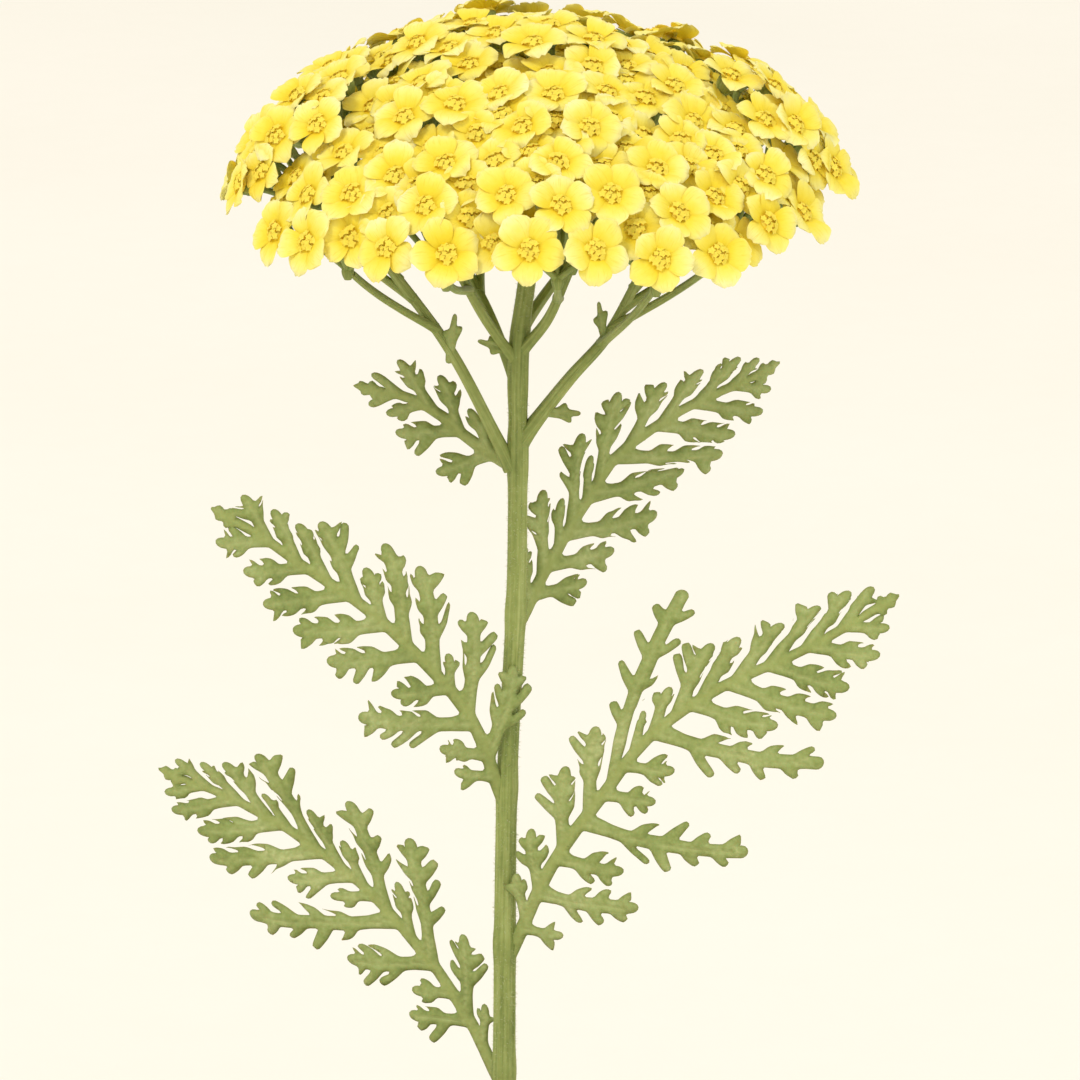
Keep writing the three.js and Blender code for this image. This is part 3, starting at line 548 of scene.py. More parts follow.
def clay_finish():
    material, tree, shader = new_finish("terracotta", Roughness=0.9, Specular_IOR_Level=0.25)
    place = object_place(tree)
    height = node(tree, "ShaderNodeSeparateXYZ", {0: place}).outputs[2]
    clouds = use(tree, MOTTLE, Cloud_size=38.0, Speckle_size=420.0, Speckle_share=0.3)
    body = ramp(tree, clouds, [
        (0.0, (158, 88, 56)), (0.4, (180, 102, 66)), (0.7, (192, 114, 76)),
        (1.0, (206, 134, 98))])
    low = spread(tree, height, 0.03, 0.0, 0.0, 0.16)
    rim = spread(tree, height, 0.088, 0.104, 0.0, 0.1)
    chalky = maths(tree, "ADD", noise(tree, place, 55.0, 7.0, 0.68), maths(tree, "ADD", low, rim))
    body = blend(tree, spread(tree, chalky, 0.56, 0.76, 0.0, 0.6), body, srgb(222, 200, 178))
    tree.links.new(spread(tree, clouds, 0.0, 1.0, 0.8, 0.95), shader.inputs["Roughness"])
    rings = node(tree, "ShaderNodeTexWave", {
        "Vector": place, "Scale": 190.0, "Distortion": 1.5, "Detail": 2.0}, bands_direction="Z")
    dress(tree, shader, body, Size=1300.0, Depth=0.6, Height_added=product(tree, rings.outputs[1], 0.25))
    return material


def earth_finish(name, dark, mid, light):
    material, tree, shader = new_finish(name, Roughness=0.95, Specular_IOR_Level=0.15)
    clouds = use(tree, MOTTLE, Cloud_size=160.0, Speckle_size=1300.0, Speckle_share=0.55)
    body = ramp(tree, clouds, [(0.1, dark), (0.55, mid), (0.95, light)])
    dress(tree, shader, body, Size=1500.0, Depth=0.9)
    return material


PETAL = petal_finish()
DISC = disc_finish()
LEAF = leaf_finish()
STEM = stem_finish("ridged stem", (150, 161, 87), (116, 130, 62))
STALK = stem_finish("flower stalk", (146, 158, 84), (108, 124, 58))
HAIR = hair_finish()
CLAY = clay_finish()
SOIL = earth_finish("potting soil", (38, 28, 22), (62, 46, 36), (92, 70, 54))
CRUMB = earth_finish("soil crumbs", (46, 34, 26), (78, 58, 44), (116, 92, 70))
PERLITE = earth_finish("perlite", (196, 190, 176), (224, 220, 208), (240, 238, 230))


# Repeats


def new_tree(name, inputs):
    tree = bpy.data.node_groups.new(name, "GeometryNodeTree")
    tree.interface.new_socket("Geometry", in_out="INPUT", socket_type="NodeSocketGeometry")
    for label, kind in inputs:
        tree.interface.new_socket(label, in_out="INPUT", socket_type=kind)
    tree.interface.new_socket("Geometry", in_out="OUTPUT", socket_type="NodeSocketGeometry")
    return tree, tree.nodes.new("NodeGroupInput"), tree.nodes.new("NodeGroupOutput")


def closed_off(tree, given, out, instances):
    """Makes the copies real and gives them their finish."""
    real = node(tree, "GeometryNodeRealizeInstances", {0: instances})
    finished = node(tree, "GeometryNodeSetMaterial", {
        "Geometry": real.outputs[0], "Material": given.outputs["Finish"]})
    tree.links.new(finished.outputs[0], out.inputs[0])


def make_strewn():
    """Copies of a shape strewn over a surface, standing along its normals with a random lean."""
    tree, given, out = new_tree("strewn", [
        ("Density", "NodeSocketFloat"), ("Smallest", "NodeSocketFloat"), ("Largest", "NodeSocketFloat"),
        ("Lean", "NodeSocketFloat"), ("Shape", "NodeSocketObject"), ("Finish", "NodeSocketMaterial"),
        ("Seed", "NodeSocketInt")])
    asked = given.outputs
    spots = node(tree, "GeometryNodeDistributePointsOnFaces", {
        "Mesh": asked["Geometry"], "Density": asked["Density"], "Seed": asked["Seed"]})
    lean = node(tree, "FunctionNodeRandomValue", {0: (-1, -1, -1), 1: (1, 1, 1), "Seed": asked["Seed"]},
                data_type="FLOAT_VECTOR")
    tipped = node(tree, "ShaderNodeVectorMath", {0: lean.outputs[0], "Scale": asked["Lean"]},
                  operation="SCALE")
    way = node(tree, "ShaderNodeVectorMath", {0: tipped.outputs[0], 1: spots.outputs["Normal"]},
               operation="ADD")
    turned = node(tree, "FunctionNodeAlignRotationToVector", {"Vector": way.outputs[0]}, axis="Z")
    spin = node(tree, "FunctionNodeRandomValue", {2: 0.0, 3: 6.283, "Seed": 7}, data_type="FLOAT")
    spun = node(tree, "FunctionNodeAxisAngleToRotation", {"Axis": (0, 0, 1), "Angle": spin.outputs[1]})
    both = node(tree, "FunctionNodeRotateRotation", {0: turned.outputs[0], 1: spun.outputs[0]},
                rotation_space="LOCAL")
    size = node(tree, "FunctionNodeRandomValue", {2: asked["Smallest"], 3: asked["Largest"], "Seed": 11},
                data_type="FLOAT")
    shape = node(tree, "GeometryNodeObjectInfo", {"Object": asked["Shape"]})
    copies = node(tree, "GeometryNodeInstanceOnPoints", {
        "Points": spots.outputs["Points"], "Instance": shape.outputs["Geometry"],
        "Rotation": both.outputs[0], "Scale": size.outputs[1]})
    closed_off(tree, given, out, copies.outputs[0])
    return tree


def make_placed():
    """A copy of a shape on every point, standing along the point's stored facing at its stored size."""
    tree, given, out = new_tree("placed", [
        ("Size", "NodeSocketFloat"), ("Shape", "NodeSocketObject"), ("Finish", "NodeSocketMaterial")])
    facing = node(tree, "GeometryNodeInputNamedAttribute", {"Name": "facing"}, data_type="FLOAT_VECTOR")
    own = node(tree, "GeometryNodeInputNamedAttribute", {"Name": "size"}, data_type="FLOAT")
    turned = node(tree, "FunctionNodeAlignRotationToVector", {"Vector": facing.outputs[0]}, axis="Z")
    size = node(tree, "ShaderNodeMath", {0: own.outputs[0], 1: given.outputs["Size"]}, operation="MULTIPLY")
    shape = node(tree, "GeometryNodeObjectInfo", {"Object": given.outputs["Shape"]})
    copies = node(tree, "GeometryNodeInstanceOnPoints", {
        "Points": given.outputs["Geometry"], "Instance": shape.outputs["Geometry"],
        "Rotation": turned.outputs[0], "Scale": size.outputs[0]})
    closed_off(tree, given, out, copies.outputs[0])
    return tree


STREWN = make_strewn()
PLACED = make_placed()


def worked_out(piece):
    """The piece's mesh with its modifiers applied."""
    bpy.context.view_layer.update()
    return bpy.data.meshes.new_from_object(piece.evaluated_get(bpy.context.evaluated_depsgraph_get()))


def grown(name, ground, tree, finish, **values):
    """Runs a tree over a ground piece, keeps what it makes as a plain mesh and drops the ground."""
    made = ground.modifiers.new("growth", "NODES")
    made.node_group = tree
    values = {key.replace("_", " "): value for key, value in values.items()} | {"Finish": finish}
    for item in tree.interface.items_tree:
        if item.in_out == "INPUT" and item.name in values:
            made[item.identifier] = values[item.name]
    ground.update_tag()
    mesh = worked_out(ground)
    ground.modifiers.remove(made)
    bpy.data.objects.remove(ground)
    mesh.name = name
    mesh.materials.clear()
    mesh.materials.append(finish)
    mesh.polygons.foreach_set("material_index", [0] * len(mesh.polygons))
    mesh.shade_smooth()
    return shown(name, mesh)


def shape_only(name, points, faces):
    """A shape for repeats, in millimetres, that isn't shown itself."""
    shape = new_piece(name, points, faces, HAIR)
    shape.hide_render = True
    return shape


def keep(piece, slot, *nodes):
    """Attaches a finished piece to the root body and hides the nodes that it stands for. Its slot is not
    used.
    """
    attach(piece, "root")
    if nodes:
        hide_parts(*nodes)


# Pot

POT_HEIGHT = 105
RIM_DEPTH = 24
POT_BASE_RADIUS = 42
POT_SHOULDER_RADIUS = 53
RIM_RADIUS = 60
POT_WALL = 5
POT_FLOOR = 7
POT_SIDES = 144
RING_STEP = 4
DRAIN_RADIUS = 4.5
DRAIN_RING = 20
DRAIN_HOLES = 3


def pot_inner(z):
    return mix(POT_BASE_RADIUS, POT_SHOULDER_RADIUS, z / (POT_HEIGHT - RIM_DEPTH)) - POT_WALL


def level_ring(radius, z, turns):
    """A ring of points round the pot's middle."""
    return np.column_stack([radius * np.cos(turns), radius * np.sin(turns), np.broadcast_to(z, len(turns))])


def turned_piece(name, profile, sides, finish, wobble=0.0):
    """A closed round piece turned from a profile that starts and ends on the axis."""
    profile = np.asarray(profile, float)
    turns = full_turn(sides)
    points = [level_ring(r * (1 + wobble * np.sin(3 * turns + z / 9) / max(r, 1)), z, turns)
              for r, z in profile[1:-1]]
    points = np.vstack([*points, (0, 0, profile[0][1]), (0, 0, profile[-1][1])])
    return new_piece(name, points, ringed_faces(len(profile) - 2, sides), finish)


def make_pot():
    foot = POT_HEIGHT - RIM_DEPTH
    corners = [
        (POT_BASE_RADIUS - 8, 0), (POT_BASE_RADIUS - 1.5, 0), (POT_BASE_RADIUS, 1.5),
        (mix(POT_BASE_RADIUS, POT_SHOULDER_RADIUS, 0.5), foot / 2),
        (POT_SHOULDER_RADIUS - 0.2, foot - 1.6), (POT_SHOULDER_RADIUS + 0.6, foot - 0.3),
        (RIM_RADIUS - 3.4, foot + 0.3), (RIM_RADIUS - 2.5, foot + 1.4),
        (RIM_RADIUS - 1.2, foot + 12), (RIM_RADIUS, POT_HEIGHT - 3.2), (RIM_RADIUS - 0.3, POT_HEIGHT - 1.1),
        (RIM_RADIUS - 1.7, POT_HEIGHT), (RIM_RADIUS - 4.2, POT_HEIGHT - 0.1),
        (RIM_RADIUS - 5.6, POT_HEIGHT - 1.5), (RIM_RADIUS - 5.9, POT_HEIGHT - 4),
        (pot_inner(foot), foot), (pot_inner(40), 40),
        (pot_inner(POT_FLOOR + 3), POT_FLOOR + 3), (pot_inner(POT_FLOOR) - 2.5, POT_FLOOR),
    ]
    profile = [(0, 0), *corners, (0, POT_FLOOR)]
    rings = [(0, 0)]
    for (r0, z0), (r1, z1) in zip(profile[1:], profile[2:-1]):
        steps = max(1, int(math.hypot(r1 - r0, z1 - z0) / RING_STEP))
        rings += [(mix(r0, r1, k / steps), mix(z0, z1, k / steps)) for k in range(steps)]
    rings += [profile[-2], (0, POT_FLOOR)]
    pot = turned_piece("clay_pot", rings, POT_SIDES, CLAY, wobble=0.12)
    flare = DRAIN_RADIUS + 0.6
    bit = [(0, -8), (flare, -8), (flare, 0.2), (DRAIN_RADIUS, 1), (DRAIN_RADIUS, 20), (0, 20)]
    for k in range(DRAIN_HOLES):
        angle = k / DRAIN_HOLES * 2 * math.pi + math.pi / 2
        middle = (DRAIN_RING * math.cos(angle), DRAIN_RING * math.sin(angle))
        drill = turned_piece("drill", bit, 32, CLAY)
        drill.data.transform(Matrix.Translation((middle[0] * MM, middle[1] * MM, 0)))
        cut = pot.modifiers.new("drain hole", "BOOLEAN")
        cut.operation = "DIFFERENCE"
        cut.object = drill
        mesh = worked_out(pot)
        pot.modifiers.remove(cut)
        pot.data = mesh
        bpy.data.objects.remove(drill)
    pot.data.name = "clay_pot"
    pot.data.shade_smooth()
    return pot


keep(make_pot(), "pot", "pot")


# Soil

STEM_HOLE_RADIUS = 2.35
SOIL_GAP = 0.5
FILLING_FOOT = 7.3


def soil_height(x, y):
    """The soil's height in broad low waves."""
    coarse = math.sin(x / 5.1 + 0.6) * math.cos(y / 4.7 - 0.4)
    fine = math.sin(x / 2.4 + 1.1) * math.sin(y / 2.9 + 0.3)
    return SOIL_LEVEL + 1.1 * (coarse + 0.5 * fine)


def soil_top_radius():
    foot = POT_HEIGHT - RIM_DEPTH
    share = (SOIL_LEVEL - 1.65 - foot) / (POT_HEIGHT - 2 - foot)
    return mix(pot_inner(foot), RIM_RADIUS - 5.8, share) - SOIL_GAP


def rough_height(x, y, grit):
    """The soil's height with its finer roughness."""
    return soil_height(x, y) + 0.35 * math.sin(x * 2.3 + 1.3 * y) * math.sin(y * 2.9 - x) + 0.3 * (grit - 0.5)


def make_soil():
    sides, rings = 120, 40
    top = soil_top_radius()
    foot = POT_HEIGHT - RIM_DEPTH
    bottom = SOIL_LEVEL - ROOT_DEPTH
    turns = full_turn(sides)
    rows = [(pot_inner(8) - 3.5, FILLING_FOOT), (pot_inner(11) - SOIL_GAP, 11.3),
            (pot_inner(foot) - SOIL_GAP, foot - 1)]
    points = [level_ring(r, z, turns) for r, z in rows]
    for k in range(rings):
        ring = level_ring(mix(top, STEM_HOLE_RADIUS + 0.1, k / (rings - 1)), 0.0, turns)
        ring[:, 2] = [rough_height(x, y, draw(i, k)) for i, (x, y, _) in enumerate(ring)]
        points.append(ring)
    points.append(level_ring(STEM_HOLE_RADIUS, bottom, turns))
    points = np.vstack([*points, (0, 0, FILLING_FOOT), (0, 0, bottom - 0.3)])
    return new_piece("soil_bed", points, ringed_faces(len(rows) + rings + 1, sides), SOIL)


def crumb_ground():
    """The soil's open top as a surface to strew crumbs on."""
    points, faces = [], []
    sides, rings = 40, 12
    for k in range(rings + 1):
        r = mix(4.5, soil_top_radius() - 1.5, k / rings)
        for i in range(sides):
            x, y = (r * way(i / sides * 2 * math.pi) for way in (math.cos, math.sin))
            points.append((x, y, soil_height(x, y) + 0.1))
    for k in range(rings):
        for i in range(sides):
            a, b = k * sides + i, k * sides + (i + 1) % sides
            faces.append((a, a + sides, b + sides, b))
    return new_piece("crumb ground", points, faces, SOIL)


def lump(name, seed, flat):
    """A small broken lump of about a millimetre."""
    body = bmesh.new()
    bmesh.ops.create_icosphere(body, subdivisions=1, radius=0.5)
    points = np.array([v.co[:] for v in body.verts])
    faces = [[v.index for v in f.verts] for f in body.faces]
    body.free()
    points = points * np.array([[mix(0.7, 1.3, draw(i, seed))] for i in range(len(points))])
    points[:, 2] *= flat
    return shape_only(name, points, faces)


keep(make_soil(), "soil", "soil")
for name, finish, seed, flat, settings in (
        ("soil_crumbs", CRUMB, 3, 0.8,
         {"Density": 260000.0, "Smallest": 0.6, "Largest": 2.0, "Lean": 0.9, "Seed": 4}),
        ("bark_chips", SOIL, 5, 0.35,
         {"Density": 22000.0, "Smallest": 2.2, "Largest": 4.6, "Lean": 0.5, "Seed": 9}),
        ("perlite_grains", PERLITE, 8, 0.9,
         {"Density": 16000.0, "Smallest": 1.0, "Largest": 2.3, "Lean": 0.9, "Seed": 15})):
    shape = lump(f"{name} shape", seed, flat)
    keep(grown(name, crumb_ground(), STREWN, finish, Shape=shape, **settings), "soil")
    bpy.data.objects.remove(shape)


# Stem

SIDE_BRANCH_RADIUS = (0.68, 0.55)
JOINT_REACH = 2.6
JOINT_SWELL = 0.12


def ridges(count, depth):
    """Relief of ridges that wind a little round a stalk, with finer lines between them."""

    def relief(turns, place):
        return depth * np.cos(count * turns + 2.2 * place) + depth * 0.4 * np.sin(17 * turns + 9 * place)

    return relief


def flared(low, high, flare, fall):
    """A branch's radius from foot to tip, wider where it leaves what carries it."""
    return lambda place: mix(low, high, place) * (1 + flare * math.exp(-place * fall))


def stem_radius(place):
    if place < 0.2:
        return mix(1.3, STEM_RADIUS_LOW, place / 0.2)
    return mix(STEM_RADIUS_LOW, STEM_RADIUS_HIGH, (place - 0.2) / 0.8)


def stem_joints():
    """Places along the stem, as heights, where a leaf or a branch leaves it."""
    heights = [leaf["path"][0][2] + 2.5 for leaf in STEM_LEAVES.values()]
    return heights + [path[0][2] for name, (_, path) in BRANCHES.items() if name != "leader"]


JOINTS = stem_joints()


def swollen_radius(place):
    height = STEM_WAY.at(place)[2]
    swell = sum(math.exp(-(((height - joint) / JOINT_REACH) ** 2)) for joint in JOINTS)
    return stem_radius(place) * (1 + JOINT_SWELL * min(1.2, swell))


def spray_middle(spray):
    return np.array(spray[0], float)


def spray_axes(spray):
    """Away from the head's middle, across, and the way the spray faces."""
    out = np.array([spray[0][0] - HEAD_AXIS[0], spray[0][1] - HEAD_AXIS[1]])
    tilt = math.radians(SPRAY_TILT * (np.linalg.norm(out) / OUTER_RING) ** 1.2)
    side = unit(out) * math.sin(tilt)
    normal = np.array([side[0], side[1], math.cos(tilt)])
    outward = np.array([out[0], out[1], 0.0])
    outward = unit(outward - normal * np.dot(outward, normal))
    return outward, np.cross(normal, outward), normal


def spray_hub(spray):
    _, branch, along = spray
    if along == 1:
        way = BRANCH_WAYS[branch]
        return way.at(1) + way.tangent(1) * (KNOB_RADIUS + SEAT_GAP)
    return spray_middle(spray) - HUB_DEPTH * spray_axes(spray)[2] + (0, 0, -HUB_DROP)


def spray_branch(spray):
    start = BRANCH_WAYS[spray[1]].at(spray[2])
    hub = spray_hub(spray)
    middle = start + 0.6 * (hub - start) + (0, 0, -1.5)
    end = hub - unit(hub - middle) * (KNOB_RADIUS + SEAT_GAP)
    return Way(bezier(start, middle, end))


def make_stem():
    stock = Stock("along", "around")
    stock.grow(STEM_WAY, swollen_radius, rows=190, sides=40, relief=ridges(8, 0.055))
    for name, (radii, _) in BRANCHES.items():
        if name != "leader":
            radius_at = flared(*radii, flare=0.45, fall=14)
            stock.grow(BRANCH_WAYS[name], radius_at, rows=60, sides=24, relief=ridges(6, 0.06))
    for spray in SPRAYS:
        if spray[2] < 1:
            radius_at = flared(*SIDE_BRANCH_RADIUS, flare=0.4, fall=12)
            stock.grow(spray_branch(spray), radius_at, rows=26, sides=16, relief=ridges(5, 0.06))
    return stock.piece("ridged_stem", STEM)


# Leaves

FINGER_REACH = (1.5, 4.4)
FINGER_LEAN = (30, 50)
WAVE_HEIGHT = 0.35
EDGE_CURL = 0.22
DISH = 90
VEIN_GROOVE = 0.16
RIB_GROOVE = 0.3
BRACT_GROOVE = 0.14


def leaflet_edge(length, half, seed, side):
    """One edge of a leaflet in its own axes, from its foot to its tip, with blunt forward fingers."""
    lobes = int(np.interp(length, (3, 5, 8, 14, 22), (0, 1, 2, 3, 4)) + 0.5)
    longest = min(FINGER_REACH[1], max(FINGER_REACH[0], 0.34 * length))
    points = []
    for k in range(lobes):
        heel = length * mix(0.2, 0.96, (k + mix(0, 0.35, draw(seed, 3 + side)) + 0.15 * side) / lobes)
        reach = longest * mix(1, 0.5, k / max(1, lobes - 1)) * mix(0.6, 1.2, draw(seed + 3 * k, 5 + side))
        lean = math.radians(mix(*FINGER_LEAN, draw(seed + 5 * k, 7 + side)))
        broad = min(LOBE_WIDTH, 0.55 * length / lobes) * mix(0.8, 1.1, draw(seed + 2 * k, 9 + side))
        blunt = mix(0.6, 0.8, draw(seed + 7 * k, 11 + side))
        ahead, aside = np.array((math.cos(lean), math.sin(lean))), np.array((-math.sin(lean), math.cos(lean)))
        tip = np.array((heel + 0.45 * broad, half)) + ahead * reach
        points += [(heel, half), mix(np.array((heel, half)), tip + aside * blunt, 0.5) + aside * 0.12,
                   tip + aside * blunt - ahead * 0.3, tip + aside * 0.8 * blunt + ahead * 0.5,
                   tip - aside * 0.7 * blunt + ahead * 0.6, tip - aside * blunt - ahead * 0.3,
                   (heel + broad + 0.2 * reach, half + 0.12 * reach), (heel + broad + 0.5, half)]
    return [(along, ahead) for along, ahead in points if along < length - 0.7]


def leaflet_points(length, half, seed):
    """The outline of one leaflet in its own axes: along it, and ahead towards the leaf's tip."""
    slim = min(half, 0.62 + 0.02 * length)
    near, far = leaflet_edge(length, half, seed, 0), leaflet_edge(length, half, seed, 1)
    tip = [(length - 1.5, -half * 0.95), (length - 0.3, -slim), (length + 0.35, -0.45 * slim),
           (length + 0.35, 0.45 * slim), (length - 0.3, slim), (length - 1.5, half * 0.95)]
    near = [(0.15 * length, half * 0.94), *near]
    far = [*far[::-1], (0.15 * length, half * 0.94)]
    points = [(along, -ahead) for along, ahead in near] + tip + far
    return [(along, ahead + LEAFLET_CURVE * along**2 / length) for along, ahead in points]


def clear_of(points, axis, others, foot):
    """Points of a leaflet drawn in towards its axis until they stand clear of the ones beside it."""
    roots, shares = [], []
    for point in points:
        gaps = np.linalg.norm(axis - point, axis=1)
        own = axis[gaps.argmin()]
        share = 1.0
        while share > 0.25 and np.linalg.norm(own - foot) > 2.2:
            here = own + (point - own) * share
            reach = np.linalg.norm(here - own) + NEIGHBOUR_GAP
            if all(np.linalg.norm(line - here, axis=1).min() > max(half + 0.4, reach)
                   for line, half in others):
                break
            share -= 0.08
        roots.append(own)
        shares.append(share)
    for _ in range(2):
        eased = np.convolve(np.pad(shares, 1, mode="edge"), (0.25, 0.5, 0.25), mode="valid")
        shares = np.minimum(shares, eased)
    return [own + (point - own) * share for own, point, share in zip(roots, points, shares)]


def leaf_outline(leaf, rib, up, lower_reach, seed):
    """A leaf's outline in its own plane, and the middle lines of its leaflets."""

    def on_rib(distance, x, y):
        at, along = rib.at(distance / rib.length), rib.tangent(distance / rib.length)
        return np.array([at[0] + x * along[0] - y * along[1], at[1] + x * along[1] + y * along[0]])

    axes = []

    def side(name, sign):
        leaflets = []
        for place, length, *angle in leaf[name]:
            reach = length * (lower_reach if name == "lower" else 1)
            leaflets.append({
                "root": place * rib.length, "length": reach, "half": min(1.2, 0.62 + 0.05 * length),
                "angle": math.radians(angle[0] if angle else mix(*leaf["angles"][name], place))})
        for own in leaflets:
            root, angle = own["root"], own["angle"]
            edge = mix(*RIB_HALF_WIDTH, min(1, root / rib.length))

            def placed(along, ahead, root=root, angle=angle, edge=edge):
                return on_rib(root, along * math.cos(angle) + ahead * math.sin(angle),
                              sign * (edge + along * math.sin(angle) - ahead * math.cos(angle)))

            own["placed"] = placed
            own["axis"] = np.array([placed(a, LEAFLET_CURVE * a**2 / own["length"])
                                    for a in np.linspace(-0.4, own["length"], 24)])
        points = []
        for index, own in enumerate(leaflets):
            foot = min(1.3 * own["half"] / math.sin(own["angle"]), LEAFLET_FOOT)
            edge = mix(*RIB_HALF_WIDTH, min(1, own["root"] / rib.length))
            beside = [(other["axis"], other["half"])
                      for other in leaflets[max(0, index - 2):index + 3] if other is not own]
            edges = leaflet_points(own["length"], own["half"], 31 * seed + index + 17 * sign)
            outline = [own["placed"](*point) for point in edges]
            points.append(on_rib(own["root"] - foot, 0, sign * edge))
            points += clear_of(outline, own["axis"], beside, own["axis"][0])
            points.append(on_rib(own["root"] + foot, 0, sign * edge))
            axes.append(own["axis"][:-2])
        return points

    wide = RIB_HALF_WIDTH[0]
    tip = [on_rib(rib.length, x, up * y) for x, y in LEAF_TIP]
    tip += [on_rib(rib.length, x - TIP_STAGGER, -up * y) for x, y in LEAF_TIP[::-1]]
    outline = [on_rib(0, 0, up * wide), *side("upper", up), *tip, *side("lower", -up)[::-1],
               on_rib(0, 0, -up * wide)]
    return np.array(outline), axes


def evenly_spaced(outline, step):
    """A closed outline with its corners a little rounded, as points at even steps."""
    corners = []
    for here, ahead in zip(outline, np.roll(outline, -1, axis=0)):
        parts = max(1, math.ceil(np.linalg.norm(ahead - here) / 1.1))
        corners += [mix(here, ahead, k / parts) for k in range(parts)]
    curve = np.array(corners)
    for _ in range(3):
        ahead = np.roll(curve, -1, axis=0)
        curve = np.stack([0.75 * curve + 0.25 * ahead, 0.25 * curve + 0.75 * ahead], axis=1).reshape(-1, 2)
    curve = np.vstack([curve, curve[0]])
    run = np.concatenate([[0], np.cumsum(np.linalg.norm(np.diff(curve, axis=0), axis=1))])
    where = np.linspace(0, run[-1], int(run[-1] / step), endpoint=False)
    return np.column_stack([np.interp(where, run, curve[:, 0]), np.interp(where, run, curve[:, 1])])


def inside(points, outline):
    """Which points a closed outline runs round, also where it overlaps itself."""
    x, y = points[:, 0][:, None], points[:, 1][:, None]
    x0, y0 = outline[:, 0][None], outline[:, 1][None]
    x1, y1 = np.roll(outline[:, 0], -1)[None], np.roll(outline[:, 1], -1)[None]
    level = y1 - y0 + 1e-12 * (y1 == y0)
    crosses = ((y0 > y) != (y1 > y)) & (x < (x1 - x0) * (y - y0) / level + x0)
    turns = (crosses * np.sign(level)).sum(1)
    swing = np.sign((x0 * y1 - x1 * y0).sum())
    return turns * swing > 0


def nearest(points, targets):
    """Distance from each point to the nearest target, and which target that is."""
    tree = kdtree.KDTree(len(targets))
    for i, t in enumerate(targets):
        tree.insert((t[0], t[1], 0), i)
    tree.balance()
    found = [tree.find((p[0], p[1], 0)) for p in points]
    return np.array([f[2] for f in found]), np.array([f[1] for f in found])


def sheet_of(outline, step):
    """The outline filled with small triangles. Gives its points, faces and which points are on the edge."""
    edge = evenly_spaced(outline, step)
    low, high = edge.min(0), edge.max(0)
    xs, ys = np.arange(low[0], high[0], step * 1.25), np.arange(low[1], high[1], step * 1.08)
    grid = np.array([(x + (0.62 * step if j % 2 else 0), y) for j, y in enumerate(ys) for x in xs])
    grid = grid + np.array([(draw(i, 81) - 0.5, draw(i, 82) - 0.5) for i in range(len(grid))]) * step * 0.3
    grid = grid[inside(grid, edge)]
    apart, _ = nearest(grid, edge)
    grid = grid[apart > step * 0.55]
    given = np.vstack([edge, grid])
    ring = [(k, (k + 1) % len(edge)) for k in range(len(edge))]
    made = delaunay_2d_cdt([Vector(p) for p in given], ring, [], 0, 1e-5)
    points = np.array([v[:] for v in made[0]])
    faces = np.array([tuple(f) for f in made[2]])
    faces = [tuple(int(i) for i in f) for f in faces[inside(points[faces].mean(1), edge)]]
    ways = {pair for face in faces for pair in zip(face, face[1:] + face[:1])}
    rim = {a for a, b in ways if (b, a) not in ways} | {b for a, b in ways if (b, a) not in ways}
    return points, faces, np.array([i in rim for i in range(len(points))])


def blade_faces(points, faces):
    """The faces of a thin blade, for its top points followed by its under points: both skins and its edge."""
    a, b, c = points[list(faces[0])]
    if (b[0] - a[0]) * (c[1] - a[1]) < (b[1] - a[1]) * (c[0] - a[0]):
        faces = [face[::-1] for face in faces]
    ways = {pair for face in faces for pair in zip(face, face[1:] + face[:1])}
    count = len(points)
    edge = [(b, a, a + count, b + count) for a, b in sorted(ways) if (b, a) not in ways]
    return faces + [tuple(i + count for i in face[::-1]) for face in faces] + edge


def denser(line, count):
    """The same line with more points."""
    here, wanted = np.linspace(0, 1, len(line)), np.linspace(0, 1, count)
    return np.column_stack([np.interp(wanted, here, column) for column in line.T])


def bow_at(bow, place):
    """How far a leaf's rib bows off its plane at a place along it."""
    span = place * (len(bow) - 1)
    knot = min(len(bow) - 2, int(span))
    share = span - knot
    return mix(bow[knot], bow[knot + 1], share * share * (3 - 2 * share))


